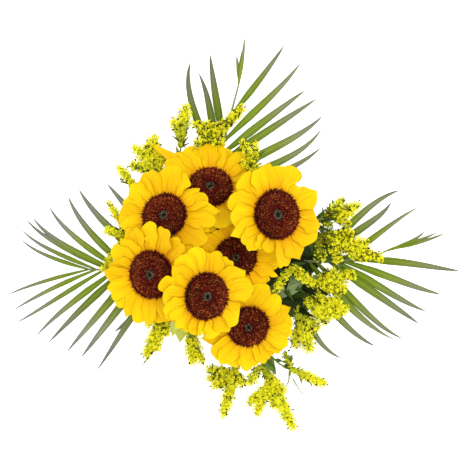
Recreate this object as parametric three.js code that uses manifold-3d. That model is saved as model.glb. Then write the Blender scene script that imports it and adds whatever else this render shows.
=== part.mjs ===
// A cut bouquet of seven sunflowers with goldenrod sprays and three palm fronds, laid on its back
// with its blooms up. Millimetres, +Z up. The flat stem ends and the drooping tips rest on z = 0.

import * as THREE from 'three';
import { mergeVertices } from 'three/addons/utils/BufferGeometryUtils.js';
import Module from 'manifold-3d';

const wasm = await Module();
wasm.setup();

// ---- driving dimensions ----------------------------------------------------------------------

const GAP = 0.3;                         // clearance between touching solids
const AXIS = new THREE.Vector2(-31, -25); // where the bundle of stems stands

const STEM = { radius: 5.65, sides: 8, straight: 58, middle: 84.1, steps: 5, run: 62, share: 0.62 };
const TWIG = { radius: 2.2, tip: 1.5, sides: 4, straight: 40, elbow: 50, out: 12, steps: 5 };
const TIE = { low: 20, high: 38, thickness: 3.4, segments: 24, clearance: 0.4 };
const RING = 2 * STEM.radius + GAP;                            // pitch of the sunflower stems
const OUTER = RING + STEM.radius + GAP + TWIG.radius;          // where the thin stems stand

const RAYS = { lobes: 11, notch: 0.8, plate: 3, rim: 1.6, clearance: 0.5 };
const CUP = { depth: 30, radius: 0.72 };  // the green cup behind a bloom; radius as a part of the disc's

// Each bloom: centre of its disc, which way and how far it leans, disc radius, reach of the petals,
// how far the petal tips stand over the disc's foot, and its place in the bundle.
const BLOOMS = [
  { name: 'top', at: [-35, 66, 96], lean: 90, tilt: 27, disc: 32, reach: 69, cup: 4, slot: 90 },
  { name: 'upper_left', at: [-98, 26, 118], lean: 135, tilt: 20, disc: 33, reach: 68, cup: 5, slot: 150 },
  { name: 'right', at: [56, 28, 156], lean: 5, tilt: 26, disc: 36, reach: 72, cup: 4, slot: 30 },
  { name: 'lower_left', at: [-115, -55, 134], lean: 185, tilt: 27, disc: 35, reach: 71, cup: 5, slot: 210 },
  { name: 'front', at: [-41, -84, 168], lean: 352, tilt: 27, disc: 34, reach: 71, cup: 5, slot: null },
  { name: 'middle', at: [1, -31, 104], lean: 320, tilt: 6, disc: 30, reach: 62, cup: 3, slot: 330 },
  { name: 'bottom', at: [18, -128, 100], lean: 305, tilt: 18, disc: 30, reach: 64, cup: 3, slot: 270 },
];

// Each frond: its place in the bundle and the course of its rib. Each leaflet: how far before the rib's
// tip it springs, its compass bearing there, how far that turns along it and in a late hook, its length.
const LEAFLET = {
  narrow: 5.5, wide: 12.5, widens: 80, thickness: 1.6, low: 0.3, arch: 4, sag: 0.12, points: 12,
};
const FRONDS = [
  {
    name: 'left', slot: 190, rib: [[-150, -48, 54], [-216, -50, 28]],
    leaflets: [
      [5, 193, 6, 6, 125], [18, 200, 12, 0, 139], [31, 210, 4, -6, 153], [51, 215, 6, 6, 156],
      [65, 219.5, 7, 0, 160], [85, 229, 0, 0, 166], [104, 232, 0, 0, 172], [122, 239, -3, 0, 188],
      [140, 236, -10, -10, 141], [165, 251, -10, -6, 177],
      [7, 165, -8, -20, 111], [18, 159, -4, -22, 126], [38, 155, -3, -20, 143], [48, 159, -14, -16, 144],
      [57, 149, -12, -16, 141], [70, 143, -18, -12, 140], [101, 138.5, -2, -16, 153], [130, 128.5, 3, 0, 146],
    ],
  },
  {
    name: 'top', slot: 88, rib: [[-19, 117, 42], [6, 221, 22]],
    leaflets: [
      [1, 93, 4, 0, 41], [2, 85, 0, 0, 48], [6, 80, 4, 2, 72],
      [54, 51, 3, 4, 132], [90, 43.5, 0, 12, 160], [110, 38, 0, 0, 153], [122, 34, 0, 0, 168],
      [142, 27.5, -3, 22, 176], [158, 20.5, 4, 34, 176], [174, 20, 4, 20, 170],
      [94, 100, -2, -2, 133], [118, 105, -12, 26, 132], [137, 113.5, -3, -36, 170],
    ],
  },
  {
    name: 'right', slot: 352, rib: [[107, -38, 50], [192, -32, 38], [230, -18, 26]],
    leaflets: [
      [8, 11, 8, 4, 86], [14, 16, 14, 14, 66], [2, 14, 8, 4, 70],
      [79, 36.5, 0, -8, 134], [108, 50, -36, 42, 132], [119, 49, -8, -24, 162],
      [118, 6, -4, 0, 96], [68, 1.2, -18, 10, 161], [82, -16.5, -10, 14, 155], [92, -28, -8, 16, 154],
      [101, -34.4, 0, 0, 161], [120, -45.2, -2, 24, 173], [131, -49, 5, 24, 176], [145, -59.5, 16, 18, 170],
      [160, -77, 16, 38, 168],
    ],
  },
];

// Each goldenrod stem stands at its slot in the bundle and forks to its sprays. A spray's main finger runs
// from its foot to its tip. Each side finger: how far it turns, where it leaves, and its share of the reach.
const PLUME = { sides: 4, steps: 3, short: 45, start: 2.6, side: 0.72, arch: 0.1, neck: 16, fork: 0.45 };
const GOLDENROD = [
  { name: 'top', slot: 110, sprays: [
    { name: 'spike', from: [-78, 124, 44], to: [-71, 187, 26], girth: 19,
      fingers: [[25, 0.15, 0.55]] },
    { name: 'crest', from: [-46, 126, 60], to: [12, 182, 56], girth: 20,
      fingers: [[95, 0.05, 0.42], [62, 0.1, 0.42], [40, 0.25, 0.4], [-40, 0.2, 0.35]] },
  ] },
  { name: 'upper_right', slot: 62, sprays: [
    { name: 'notch', from: [34, 82, 100], to: [11, 132, 84], girth: 16,
      fingers: [[-28, 0.3, 0.6], [26, 0.1, 0.5]] },
  ] },
  { name: 'upper_left', slot: 132, sprays: [
    { name: 'corner', from: [-112, 88, 62], to: [-118, 141, 34], girth: 21,
      fingers: [[71, 0.09, 0.7], [37, 0.1, 0.88], [20, 0.35, 0.5], [-30, 0.05, 0.5]] },
    { name: 'edge', from: [-142, 66, 50], to: [-167, 98, 30], girth: 12, fingers: [] },
  ] },
  { name: 'left', slot: 168, sprays: [
    { name: 'west', from: [-146, 2, 66], to: [-184, 6, 58], girth: 13,
      fingers: [[-51, 0.15, 1.38], [60, 0.15, 1.7]] },
  ] },
  { name: 'right', slot: 16, sprays: [
    { name: 'shoulder', from: [116, 22, 84], to: [178, 43, 54], girth: 16,
      fingers: [[22, 0.15, 0.6], [-14, 0.25, 0.55], [-42, 0.02, 0.34]] },
    { name: 'arm', from: [104, 2, 76], to: [208, -33, 66], girth: 22,
      fingers: [[22, 0.08, 0.5], [-62, 0.12, 0.3], [-45, 0.28, 0.28], [14, 0.28, 0.5], [-10, 0.4, 0.42]] },
  ] },
  { name: 'lower_right', slot: 332, sprays: [
    { name: 'inner', from: [78, -44, 84], to: [110, -68, 98], girth: 17,
      fingers: [[-66, 0.05, 1.05]] },
    { name: 'east', from: [106, -70, 74], to: [169, -56, 60], girth: 20,
      fingers: [[18, 0.1, 0.55], [-26, 0.2, 0.62]] },
    { name: 'elbow', from: [96, -94, 66], to: [158, -108, 54], girth: 26,
      fingers: [[38, 0.05, 0.62], [-34, 0.15, 0.6], [18, 0.3, 0.55], [-16, 0.4, 0.5]] },
    { name: 'hip', from: [88, -110, 48], to: [108, -166, 22], girth: 24,
      fingers: [[36, 0.08, 0.6], [-30, 0.25, 0.62]] },
  ] },
  { name: 'lower_left', slot: 238, sprays: [
    { name: 'heel', from: [-96, -108, 62], to: [-128, -174, 36], girth: 20,
      fingers: [[24, 0.05, 0.42], [-34, 0.05, 0.45], [14, 0.3, 0.5]] },
    { name: 'tuft', from: [-66, -128, 46], to: [-60, -184, 20], girth: 17,
      fingers: [[13, 0.05, 1.0]] },
  ] },
  { name: 'bottom', slot: 290, sprays: [
    { name: 'toe', from: [2, -186, 40], to: [-17, -263, 3], girth: 21,
      fingers: [[-80, 0.14, 0.5], [-58, 0.3, 0.38], [40, 0.1, 0.32]] },
    { name: 'skirt', from: [38, -184, 44], to: [85, -281, 3], girth: 20,
      fingers: [[-62, 0.02, 0.3], [-73, 0.3, 0.41], [-46, 0.25, 0.51], [-12, 0.15, 0.47], [14, 0.1, 0.4]] },
    { name: 'wing', from: [76, -190, 46], to: [131, -216, 24], girth: 15,
      fingers: [[138, 0.1, 0.43]] },
  ] },
];

// Each leaf springs from one of the rings that a bloom's stem is made of, and runs to its tip.
const LEAF = { thickness: 2, steps: 6, seat: 0.6, stalk: 9 };
const LEAVES = [
  { name: 'inner', bloom: 'right', ring: 4, to: [110, -30, 96], width: 34 },
  { name: 'core', bloom: 'middle', ring: 5, to: [-30, 20, 88], width: 24 },
  { name: 'low', bloom: 'bottom', ring: 4, to: [57, -192, 63], width: 27 },
  { name: 'bud', bloom: 'front', ring: 5, to: [-78, -146, 64], width: 24 },
];

const COLOURS = {
  rays: 0xf7c20c, disc: 0x4a2213, stem: 0x6f8a35, palm: 0x7f9548,
  stalk: 0x8fa05a, goldenrod: 0xdcd327, leaf: 0x3f5a22, tie: 0xb99a62,
};

// ---- small tools -----------------------------------------------------------------------------

const UP = new THREE.Vector3(0, 0, 1);
const vec = (p) => new THREE.Vector3(...p);
const radians = THREE.MathUtils.degToRad;
const mix = THREE.MathUtils.lerp;

// A unit vector that leans from +Z by tilt degrees towards the compass angle lean.
function leaning(lean, tilt) {
  const flat = Math.sin(radians(tilt));
  return new THREE.Vector3(
    flat * Math.cos(radians(lean)), flat * Math.sin(radians(lean)), Math.cos(radians(tilt)));
}

// A closed geometry with shared corners, as a manifold solid. Turned right side out if need be.
function solid(geometry) {
  geometry.deleteAttribute('normal');
  geometry.deleteAttribute('uv');
  const merged = mergeVertices(geometry, 1e-4);
  const corners = new Float32Array(merged.attributes.position.array);
  const faces = new Uint32Array(merged.index.array);
  const whole = [];
  let volume = 0;
  for (let i = 0; i < faces.length; i += 3) {
    const [a, b, c] = [faces[i], faces[i + 1], faces[i + 2]];
    if (a === b || b === c || a === c) continue;
    whole.push(a, b, c);
    const [p, q, r] = [a, b, c].map((k) => new THREE.Vector3().fromArray(corners, 3 * k));
    volume += p.dot(q.cross(r));
  }
  if (volume < 0) whole.reverse();
  return new wasm.Manifold(
    new wasm.Mesh({ numProp: 3, vertProperties: corners, triVerts: new Uint32Array(whole) }));
}

function geometryOf(body) {
  const mesh = body.getMesh();
  const geometry = new THREE.BufferGeometry();
  geometry.setAttribute('position', new THREE.BufferAttribute(new Float32Array(mesh.vertProperties), 3));
  geometry.setIndex(new THREE.BufferAttribute(new Uint32Array(mesh.triVerts), 1));
  geometry.computeVertexNormals();
  return geometry;
}

function joined(bodies) {
  return bodies.reduce((sum, body) => sum.add(body));
}

// The largest piece that is left of a body once the others are cut away from it.
function cutRound(body, others) {
  const left = others.reduce((rest, other) => rest.subtract(other), body);
  return left.decompose().sort((a, b) => b.volume() - a.volume())[0];
}

// Frames that slide along a curve without twisting, one at each of the given parts of its length.
function framesAlong(curve, parts, side = null) {
  const frames = [];
  let across = side;
  for (const part of parts) {
    const tangent = curve.getTangentAt(part);
    if (!across) {
      across = new THREE.Vector3(Math.abs(tangent.x) < 0.9 ? 1 : 0, Math.abs(tangent.x) < 0.9 ? 0 : 1, 0);
    }
    across = across.clone().addScaledVector(tangent, -across.dot(tangent)).normalize();
    frames.push({ at: curve.getPointAt(part), across, over: tangent.clone().cross(across) });
  }
  return frames;
}

// A tapering round limb: a lathe profile, one ring at each distance, bent along the curve.
function limb(curve, distances, radiusAt, sides) {
  const length = curve.getLength();
  const profile = [new THREE.Vector2(0, 0)];
  distances.forEach((d, i) => profile.push(new THREE.Vector2(radiusAt(d, length), i)));
  profile.push(new THREE.Vector2(0, distances.length - 1));
  const geometry = new THREE.LatheGeometry(profile, sides);
  const frames = framesAlong(curve, distances.map((d) => Math.min(1, d / length)));
  const place = geometry.attributes.position;
  for (let i = 0; i < place.count; i++) {
    const frame = frames[Math.round(place.getY(i))];
    const spot = frame.at.clone()
      .addScaledVector(frame.across, place.getX(i))
      .addScaledVector(frame.over, place.getZ(i));
    place.setXYZ(i, spot.x, spot.y, spot.z);
  }
  return solid(geometry);
}

function evenly(from, to, count) {
  return Array.from({ length: count + 1 }, (_, i) => mix(from, to, i / count));
}

// A thin blade with sharp edges and a low ridge above and below, pointed at its tip.
function blade(curve, halfWidthAt, thickness, steps) {
  const parts = evenly(0, 1, steps);
  const heading = curve.getTangentAt(0);
  const frames = framesAlong(curve, parts, heading.clone().cross(UP).normalize());
  const corners = [];
  const faces = [];
  frames.forEach((frame, i) => {
    const last = i === steps;
    const half = last ? 0.4 : halfWidthAt(parts[i]);
    const high = last ? 0.3 : thickness / 2;
    for (const [a, b] of [[half, 0], [0, high], [-half, 0], [0, -high]]) {
      const spot = frame.at.clone().addScaledVector(frame.across, a).addScaledVector(frame.over, b);
      corners.push(spot.x, spot.y, spot.z);
    }
  });
  for (let i = 0; i < steps; i++) {
    for (let k = 0; k < 4; k++) {
      const [a, b] = [4 * i + k, 4 * i + (k + 1) % 4];
      faces.push(a, b, b + 4, a, b + 4, a + 4);
    }
  }
  const end = 4 * steps;
  faces.push(2, 1, 0, 3, 2, 0, end, end + 1, end + 2, end, end + 2, end + 3);
  const geometry = new THREE.BufferGeometry();
  geometry.setAttribute('position', new THREE.BufferAttribute(new Float32Array(corners), 3));
  geometry.setIndex(faces);
  return solid(geometry);
}

function inBundle(slot, radius) {
  if (slot === null) return AXIS.clone();
  return new THREE.Vector2(Math.cos(radians(slot)), Math.sin(radians(slot)))
    .multiplyScalar(radius).add(AXIS);
}

// ---- blooms ----------------------------------------------------------------------------------

// The petals as one scalloped dish, in the bloom's own frame: disc's foot at the origin, facing +Z.
function raysGeometry(bloom, grow) {
  const { disc, reach, cup } = bloom;
  const steps = 3 * RAYS.lobes;
  const profile = [
    [0, grow], [disc + 2, grow], [reach + grow, cup + grow], [reach + grow, cup - RAYS.rim - grow],
    [disc * CUP.radius, -RAYS.plate - grow], [0, -RAYS.plate - grow],
  ].map(([r, z]) => new THREE.Vector2(r, z));
  const geometry = new THREE.LatheGeometry(profile, steps);
  const place = geometry.attributes.position;
  for (let i = 0; i < place.count; i++) {
    const [x, y, z] = [place.getX(i), place.getZ(i), place.getY(i)];
    const radius = Math.hypot(x, y);
    const step = Math.round(Math.atan2(y, x) / (2 * Math.PI) * steps + steps) % 3;
    const pulled = radius > mix(disc, reach, 0.8) && step === 0 ? RAYS.notch : 1;
    place.setXYZ(i, x * pulled, y * pulled, z);
  }
  return geometry;
}

function discGeometry(bloom) {
  const r = bloom.disc;
  const profile = [
    [0, GAP], [0.96 * r, GAP], [r, 3], [0.82 * r, 7.6], [0.45 * r, 9.6], [0, 8.4],
  ].map(([x, z]) => new THREE.Vector2(x, z));
  return new THREE.LatheGeometry(profile, 10).rotateX(Math.PI / 2);
}

// A bloom's own frame, out in the bouquet's.
function bloomFrame(bloom) {
  const turn = new THREE.Quaternion().setFromUnitVectors(UP, leaning(bloom.lean, bloom.tilt));
  return new THREE.Matrix4().compose(vec(bloom.at), turn, new THREE.Vector3(1, 1, 1));
}

function placedRays(bloom, grow) {
  return solid(raysGeometry(bloom, grow).applyMatrix4(bloomFrame(bloom)));
}

// The petals, given way to the stems that pass and to the petals that lie over them.
function fittedRays(bloom) {
  const others = BLOOMS.filter((other) => other !== bloom);
  const higher = others.filter((other) => other.at[2] > bloom.at[2]);
  return cutRound(placedRays(bloom, 0), [
    ...others.map((other) => bloomStem(other, RAYS.clearance)),
    ...higher.map((other) => placedRays(other, RAYS.clearance)),
  ]);
}

// A stem's course: straight back from the bloom, then round and down into the bundle.
function bloomStemCurve(bloom, grow) {
  const back = leaning(bloom.lean, bloom.tilt).negate();
  const head = vec(bloom.at).addScaledVector(back, RAYS.plate + GAP - grow);
  const foot = inBundle(bloom.slot, RING);
  const straight = stemStraight(bloom);
  const run = Math.min(STEM.run, STEM.share * (bloom.at[2] - STEM.straight));
  return new THREE.CatmullRomCurve3([
    head,
    head.clone().addScaledVector(back, run / 2),
    head.clone().addScaledVector(back, run),
    new THREE.Vector3(foot.x, foot.y, straight),
    new THREE.Vector3(foot.x, foot.y, straight / 2),
    new THREE.Vector3(foot.x, foot.y, 0),
  ], false, 'centripetal');
}

// How far a stem runs upright from its cut end. The middle one clears those round it.
function stemStraight(bloom) {
  return bloom.slot === null ? STEM.middle : STEM.straight;
}

// The distances behind the bloom at which its stem has a ring of corners.
function stemRings(bloom, curve) {
  const length = curve.getLength();
  const bend = evenly(CUP.depth, length - stemStraight(bloom), STEM.steps).slice(1);
  return [0, 6, 15, CUP.depth, ...bend, length];
}

// Cup and stem as one limb.
function bloomStem(bloom, grow) {
  const curve = bloomStemCurve(bloom, grow);
  const wide = bloom.disc * CUP.radius;
  const radiusAt = (d) => {
    if (d >= CUP.depth) return STEM.radius + grow;
    return mix(wide, STEM.radius, Math.sin(Math.PI / 2 * d / CUP.depth) ** 1.6) + grow;
  };
  return limb(curve, stemRings(bloom, curve), radiusAt, STEM.sides);
}

// ---- fronds ----------------------------------------------------------------------------------

function thinStemCurve(slot, onward) {
  const foot = inBundle(slot, OUTER);
  const elbow = inBundle(slot, OUTER + TWIG.out);
  return new THREE.CatmullRomCurve3([
    new THREE.Vector3(foot.x, foot.y, 0),
    new THREE.Vector3(foot.x, foot.y, TWIG.straight / 2),
    new THREE.Vector3(foot.x, foot.y, TWIG.straight),
    new THREE.Vector3(elbow.x, elbow.y, TWIG.elbow),
    ...onward.map(vec),
  ], false, 'centripetal');
}

// How far before the tip a frond's own solid starts; its stalk runs up to there.
function frondStart(frond) {
  return Math.max(...frond.leaflets.map(([before]) => before)) + 8;
}

function frondStalk(frond) {
  const curve = thinStemCurve(frond.slot, frond.rib);
  const length = curve.getLength();
  const end = length - frondStart(frond) - GAP;
  return limb(curve, [0, ...evenly(TWIG.straight, end, 6)], () => TWIG.radius, TWIG.sides);
}

// Out from the rib along its bearing, turning on the way, and down to the table.
function leaflet(root, [before, way, bend, hook, length]) {
  const drop = root.z - LEAFLET.low;
  const line = [root];
  const flat = new THREE.Vector2(root.x, root.y);
  for (let i = 1; i <= LEAFLET.points; i++) {
    const [half, t] = [(i - 0.5) / LEAFLET.points, i / LEAFLET.points];
    const bearing = radians(way + bend * half + hook * half ** 4);
    flat.x += Math.cos(bearing) * length / LEAFLET.points;
    flat.y += Math.sin(bearing) * length / LEAFLET.points;
    const rise = 4 * t * (1 - t) * (LEAFLET.sag * drop + LEAFLET.arch);
    line.push(new THREE.Vector3(flat.x, flat.y, LEAFLET.low + drop * (1 - t) + rise));
  }
  const width = mix(LEAFLET.narrow, LEAFLET.wide, Math.min(1, before / LEAFLET.widens));
  const halfWidth = (t) => width / 2 * Math.min(1, 0.3 + 2.2 * t) * (1 - t * t) ** 0.6;
  const curve = new THREE.CatmullRomCurve3(line, false, 'centripetal');
  return blade(curve, halfWidth, LEAFLET.thickness, Math.abs(bend) + Math.abs(hook) > 30 ? 3 : 2);
}

function frondBlade(frond) {
  const curve = thinStemCurve(frond.slot, frond.rib);
  const length = curve.getLength();
  const start = length - frondStart(frond);
  const distances = evenly(start, length, 6);
  const rib = limb(curve, distances, (d) => mix(TWIG.radius, 0.8, (d - start) / (length - start)), 4);
  const leaflets = frond.leaflets.map((plan) => leaflet(curve.getPointAt(1 - plan[0] / length), plan));
  return joined([rib, ...leaflets]);
}

// ---- goldenrod -------------------------------------------------------------------------------

function fingerCurve(from, to, arch) {
  const middle = from.clone().lerp(to, 0.5).addScaledVector(UP, arch);
  return new THREE.CatmullRomCurve3([from, middle, to], false, 'centripetal');
}

function finger(curve, girth) {
  const length = curve.getLength();
  const steps = length < PLUME.short ? PLUME.steps - 1 : PLUME.steps;
  const swelling = (d) => girth / 2 * Math.sin(Math.PI * (0.12 + 0.8 * d / length)) ** 0.7;
  const radiusAt = (d) => (d < length ? Math.max(PLUME.start, swelling(d)) : 1.2);
  return limb(curve, evenly(0, length, steps), radiusAt, PLUME.sides);
}

function mainFinger(plume) {
  const [from, to] = [vec(plume.from), vec(plume.to)];
  return fingerCurve(from, to, PLUME.arch * from.distanceTo(to));
}

function spray(plume) {
  const [from, to] = [vec(plume.from), vec(plume.to)];
  const axis = to.clone().sub(from);
  const arch = 0.6 * PLUME.arch * axis.length();
  const parts = [finger(mainFinger(plume), plume.girth)];
  for (const [turn, leaves, share] of plume.fingers) {
    const root = from.clone().addScaledVector(axis, leaves).addScaledVector(UP, arch);
    const reach = axis.clone().multiplyScalar(share).applyAxisAngle(UP, radians(turn));
    parts.push(finger(fingerCurve(root, root.clone().add(reach), arch), plume.girth * PLUME.side));
  }
  return joined(parts);
}

// A forked stem: one limb to its first spray, and one from the fork to each of the others.
function goldenrodStem(plant) {
  const ends = plant.sprays.map((plume) => {
    const way = mainFinger(plume).getTangentAt(0);
    return [PLUME.neck, GAP].map((back) => vec(plume.from).addScaledVector(way, -back).toArray());
  });
  const trunk = thinStemCurve(plant.slot, ends[0]);
  const length = trunk.getLength();
  const thickness = (d) => mix(TWIG.radius, TWIG.tip, d / length);
  const limbs = [limb(trunk, [0, ...evenly(TWIG.straight, length, TWIG.steps)], thickness, TWIG.sides)];
  for (const end of ends.slice(1)) {
    const fork = trunk.getPointAt(PLUME.fork);
    const branch = new THREE.CatmullRomCurve3([fork, ...end.map(vec)], false, 'centripetal');
    const reach = branch.getLength();
    limbs.push(limb(branch, evenly(0, reach, 2), () => TWIG.tip, TWIG.sides));
  }
  return joined(limbs);
}

// ---- leaves and tie --------------------------------------------------------------------------

// A stalk and blade in one: square out from the skin of a bloom's stem, then arching to its tip.
function leafBlade(leaf) {
  const bloom = BLOOMS.find((each) => each.name === leaf.bloom);
  const stem = bloomStemCurve(bloom, 0);
  const part = stemRings(bloom, stem)[leaf.ring] / stem.getLength();
  const node = stem.getPointAt(part);
  const along = stem.getTangentAt(part);
  const tip = vec(leaf.to);
  const away = tip.clone().sub(node);
  const out = away.clone().addScaledVector(along, -away.dot(along)).normalize();
  const from = node.clone().addScaledVector(out, STEM.radius + LEAF.seat);
  const elbow = from.clone().addScaledVector(out, LEAF.stalk);
  const middle = elbow.clone().lerp(tip, 0.5).addScaledVector(UP, LEAF.stalk);
  const curve = new THREE.CatmullRomCurve3([from, elbow, middle, tip], false, 'centripetal');
  const halfWidth = (t) => Math.max(1.6, leaf.width / 2 * Math.sin(Math.PI * Math.max(0, 1.2 * t - 0.2)));
  return blade(curve, halfWidth, LEAF.thickness, LEAF.steps);
}

function tieGeometry() {
  const inner = OUTER + TWIG.radius + TIE.clearance;
  const outer = inner + TIE.thickness;
  const profile = [
    [inner, TIE.low], [outer - 1, TIE.low], [outer, mix(TIE.low, TIE.high, 0.5)], [outer - 1, TIE.high],
    [inner, TIE.high], [inner, TIE.low],
  ].map(([x, z]) => new THREE.Vector2(x, z));
  const geometry = new THREE.LatheGeometry(profile, TIE.segments);
  return geometry.rotateX(Math.PI / 2);
}

// ---- assembly --------------------------------------------------------------------------------

function piece(name, body, colour, roughness) {
  const material = new THREE.MeshStandardMaterial({ color: colour, roughness, metalness: 0 });
  const mesh = new THREE.Mesh(geometryOf(body), material);
  mesh.name = name;
  return mesh;
}

// A bloom's petals and disc in their own frame, placed and leaned as one.
function bloomGroup(bloom) {
  const frame = bloomFrame(bloom);
  const petals = geometryOf(fittedRays(bloom)).applyMatrix4(frame.clone().invert());
  const group = new THREE.Group();
  group.applyMatrix4(frame);
  group.add(piece(`sunflower_${bloom.name}_petals`, solid(petals), COLOURS.rays, 0.55));
  group.add(piece(`sunflower_${bloom.name}_disc`, solid(discGeometry(bloom)), COLOURS.disc, 0.9));
  return group;
}

const plants = new THREE.Group();
for (const bloom of BLOOMS) {
  plants.add(bloomGroup(bloom));
  plants.add(piece(`sunflower_${bloom.name}_stem`, bloomStem(bloom, 0), COLOURS.stem, 0.7));
}
for (const frond of FRONDS) {
  plants.add(piece(`palm_frond_${frond.name}`, frondBlade(frond), COLOURS.palm, 0.6));
  plants.add(piece(`palm_stalk_${frond.name}`, frondStalk(frond), COLOURS.stalk, 0.6));
}
for (const plant of GOLDENROD) {
  for (const plume of plant.sprays) {
    plants.add(piece(`goldenrod_spray_${plume.name}`, spray(plume), COLOURS.goldenrod, 0.9));
  }
  plants.add(piece(`goldenrod_stem_${plant.name}`, goldenrodStem(plant), COLOURS.stalk, 0.7));
}
for (const leaf of LEAVES) {
  plants.add(piece(`leaf_${leaf.name}`, leafBlade(leaf), COLOURS.leaf, 0.6));
}
const tie = piece('twine_tie', solid(tieGeometry()), COLOURS.tie, 0.9);
tie.position.set(AXIS.x, AXIS.y, 0);
plants.add(tie);

// The origin is the middle of the bouquet's outline, on the surface that it lies on.
const extent = new THREE.Box3().setFromObject(plants, true);
plants.position.set(-(extent.min.x + extent.max.x) / 2, -(extent.min.y + extent.max.y) / 2, 0);

const bouquet = new THREE.Group();
bouquet.add(plants);

export default bouquet;
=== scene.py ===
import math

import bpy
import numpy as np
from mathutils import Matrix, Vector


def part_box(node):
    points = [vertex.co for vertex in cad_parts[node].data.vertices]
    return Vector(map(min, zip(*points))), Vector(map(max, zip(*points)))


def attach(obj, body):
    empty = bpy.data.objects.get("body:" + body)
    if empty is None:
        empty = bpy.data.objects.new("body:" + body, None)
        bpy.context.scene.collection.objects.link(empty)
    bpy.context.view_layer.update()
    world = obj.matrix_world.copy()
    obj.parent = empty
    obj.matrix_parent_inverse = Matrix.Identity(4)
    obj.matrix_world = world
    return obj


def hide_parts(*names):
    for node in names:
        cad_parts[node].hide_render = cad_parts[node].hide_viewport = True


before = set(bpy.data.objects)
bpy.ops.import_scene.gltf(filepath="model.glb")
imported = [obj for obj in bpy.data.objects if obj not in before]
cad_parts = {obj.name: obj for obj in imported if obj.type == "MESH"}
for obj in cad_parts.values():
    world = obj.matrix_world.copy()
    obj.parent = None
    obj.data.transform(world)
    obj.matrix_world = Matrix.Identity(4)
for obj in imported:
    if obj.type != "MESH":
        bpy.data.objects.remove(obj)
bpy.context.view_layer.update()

# The looks of a cut sunflower bouquet: seven blooms, goldenrod and three palm fronds, lying face up.
# Shapes are worked out in millimetres, in the axes that the bundle of stems was laid out in. They are
# moved into the frame's metres as each mesh is made.

# ---- driving dimensions, in millimetres and degrees ----

MM = 0.001
SEED = 20
GOLDEN_ANGLE = math.radians(137.508)

# The bundle's axis, and where its stems stand on rings round it: thick ones to blooms, thin ones to the rest.
AXIS = (-31, -25)
STEM = {"radius": 5.65, "straight": 58, "straight_middle": 84.1, "ring": 11.6, "back": 62}
TWIG = {"radius": 2.2, "straight": 40, "elbow": 50, "ring": 19.75, "out": 12}
# The twine has two plies. Each one's radius and distance from the middle are shares of the twine's radius.
TIE = {"low": 20, "high": 38, "inner": 22.35, "turns": 5, "lay": 8.5, "rows": 560, "ply": 0.56, "aside": 0.46}
CUP = {"depth": 30, "radius": 0.72, "below": 3.3, "fall": 1.6}

# A petal's root and reach are shares of its bloom's disc and reach.
PETAL = {"root": 0.84, "reach": 1.03, "thickness": 0.55, "rows": 15, "columns": 9}
# Each row of petals: its height over the disc's foot, its pitch against the bloom's cup, and its roll.
UPPER_ROW = (1.0, 1, 5)
LOWER_ROW = (-0.8, -2, -2)
# Rings of bracts under the petals: how many, how far round they start, reach, height and pitch.
BRACTS = ((14, 0.1, 30, -3.2, -3), (14, 0.6, 27, -4.6, -9), (12, 0.3, 22, -7.5, -18))
BRACT = {"width": 10.5, "thickness": 0.7, "sunk": 1.5, "rows": 8, "columns": 5}
# Hairs on a bloom's stem, and how far they keep from the bloom and from the cut end.
BRISTLES = {"count": 420, "below": 6, "above": 24}

# The disc: the dome's radius against the disc's, how deep florets sit in it and its bed lies under it, how
# many florets there are for each square millimetre and out to which part, and how many round its rim.
DISC = {"fill": 0.93, "sunk": 1.6, "bed": 1.4, "density": 0.39, "edge": 0.97, "fringe": 120, "stamens": 80}
# The disc's height over its foot, by part of its radius: a low dome with a sunken eye.
DOME = np.array([
    (0, 7.4), (0.1, 7.6), (0.2, 8.5), (0.32, 9.3), (0.48, 9.6), (0.64, 9.1), (0.78, 7.8), (0.9, 5.6),
    (1.0, 2.6),
])

# Each bloom: centre of its disc, which way and how far it leans, disc radius, reach of the petals,
# how far the petal tips stand over the disc's foot, and its place in the bundle.
BLOOM_PARTS = ("name", "at", "lean", "tilt", "disc", "reach", "cup", "slot")
BLOOMS = [dict(zip(BLOOM_PARTS, row)) for row in (
    ("top", (-35, 66, 96), 90, 27, 32, 69, 4, 90),
    ("upper_left", (-98, 26, 118), 135, 20, 33, 68, 5, 150),
    ("right", (56, 28, 156), 5, 26, 36, 72, 4, 30),
    ("lower_left", (-115, -55, 134), 185, 27, 35, 71, 5, 210),
    ("front", (-41, -84, 168), 352, 27, 34, 71, 5, None),
    ("middle", (1, -31, 104), 320, 6, 30, 62, 3, 330),
    ("bottom", (18, -128, 100), 305, 18, 30, 64, 3, 270),
)]

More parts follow.
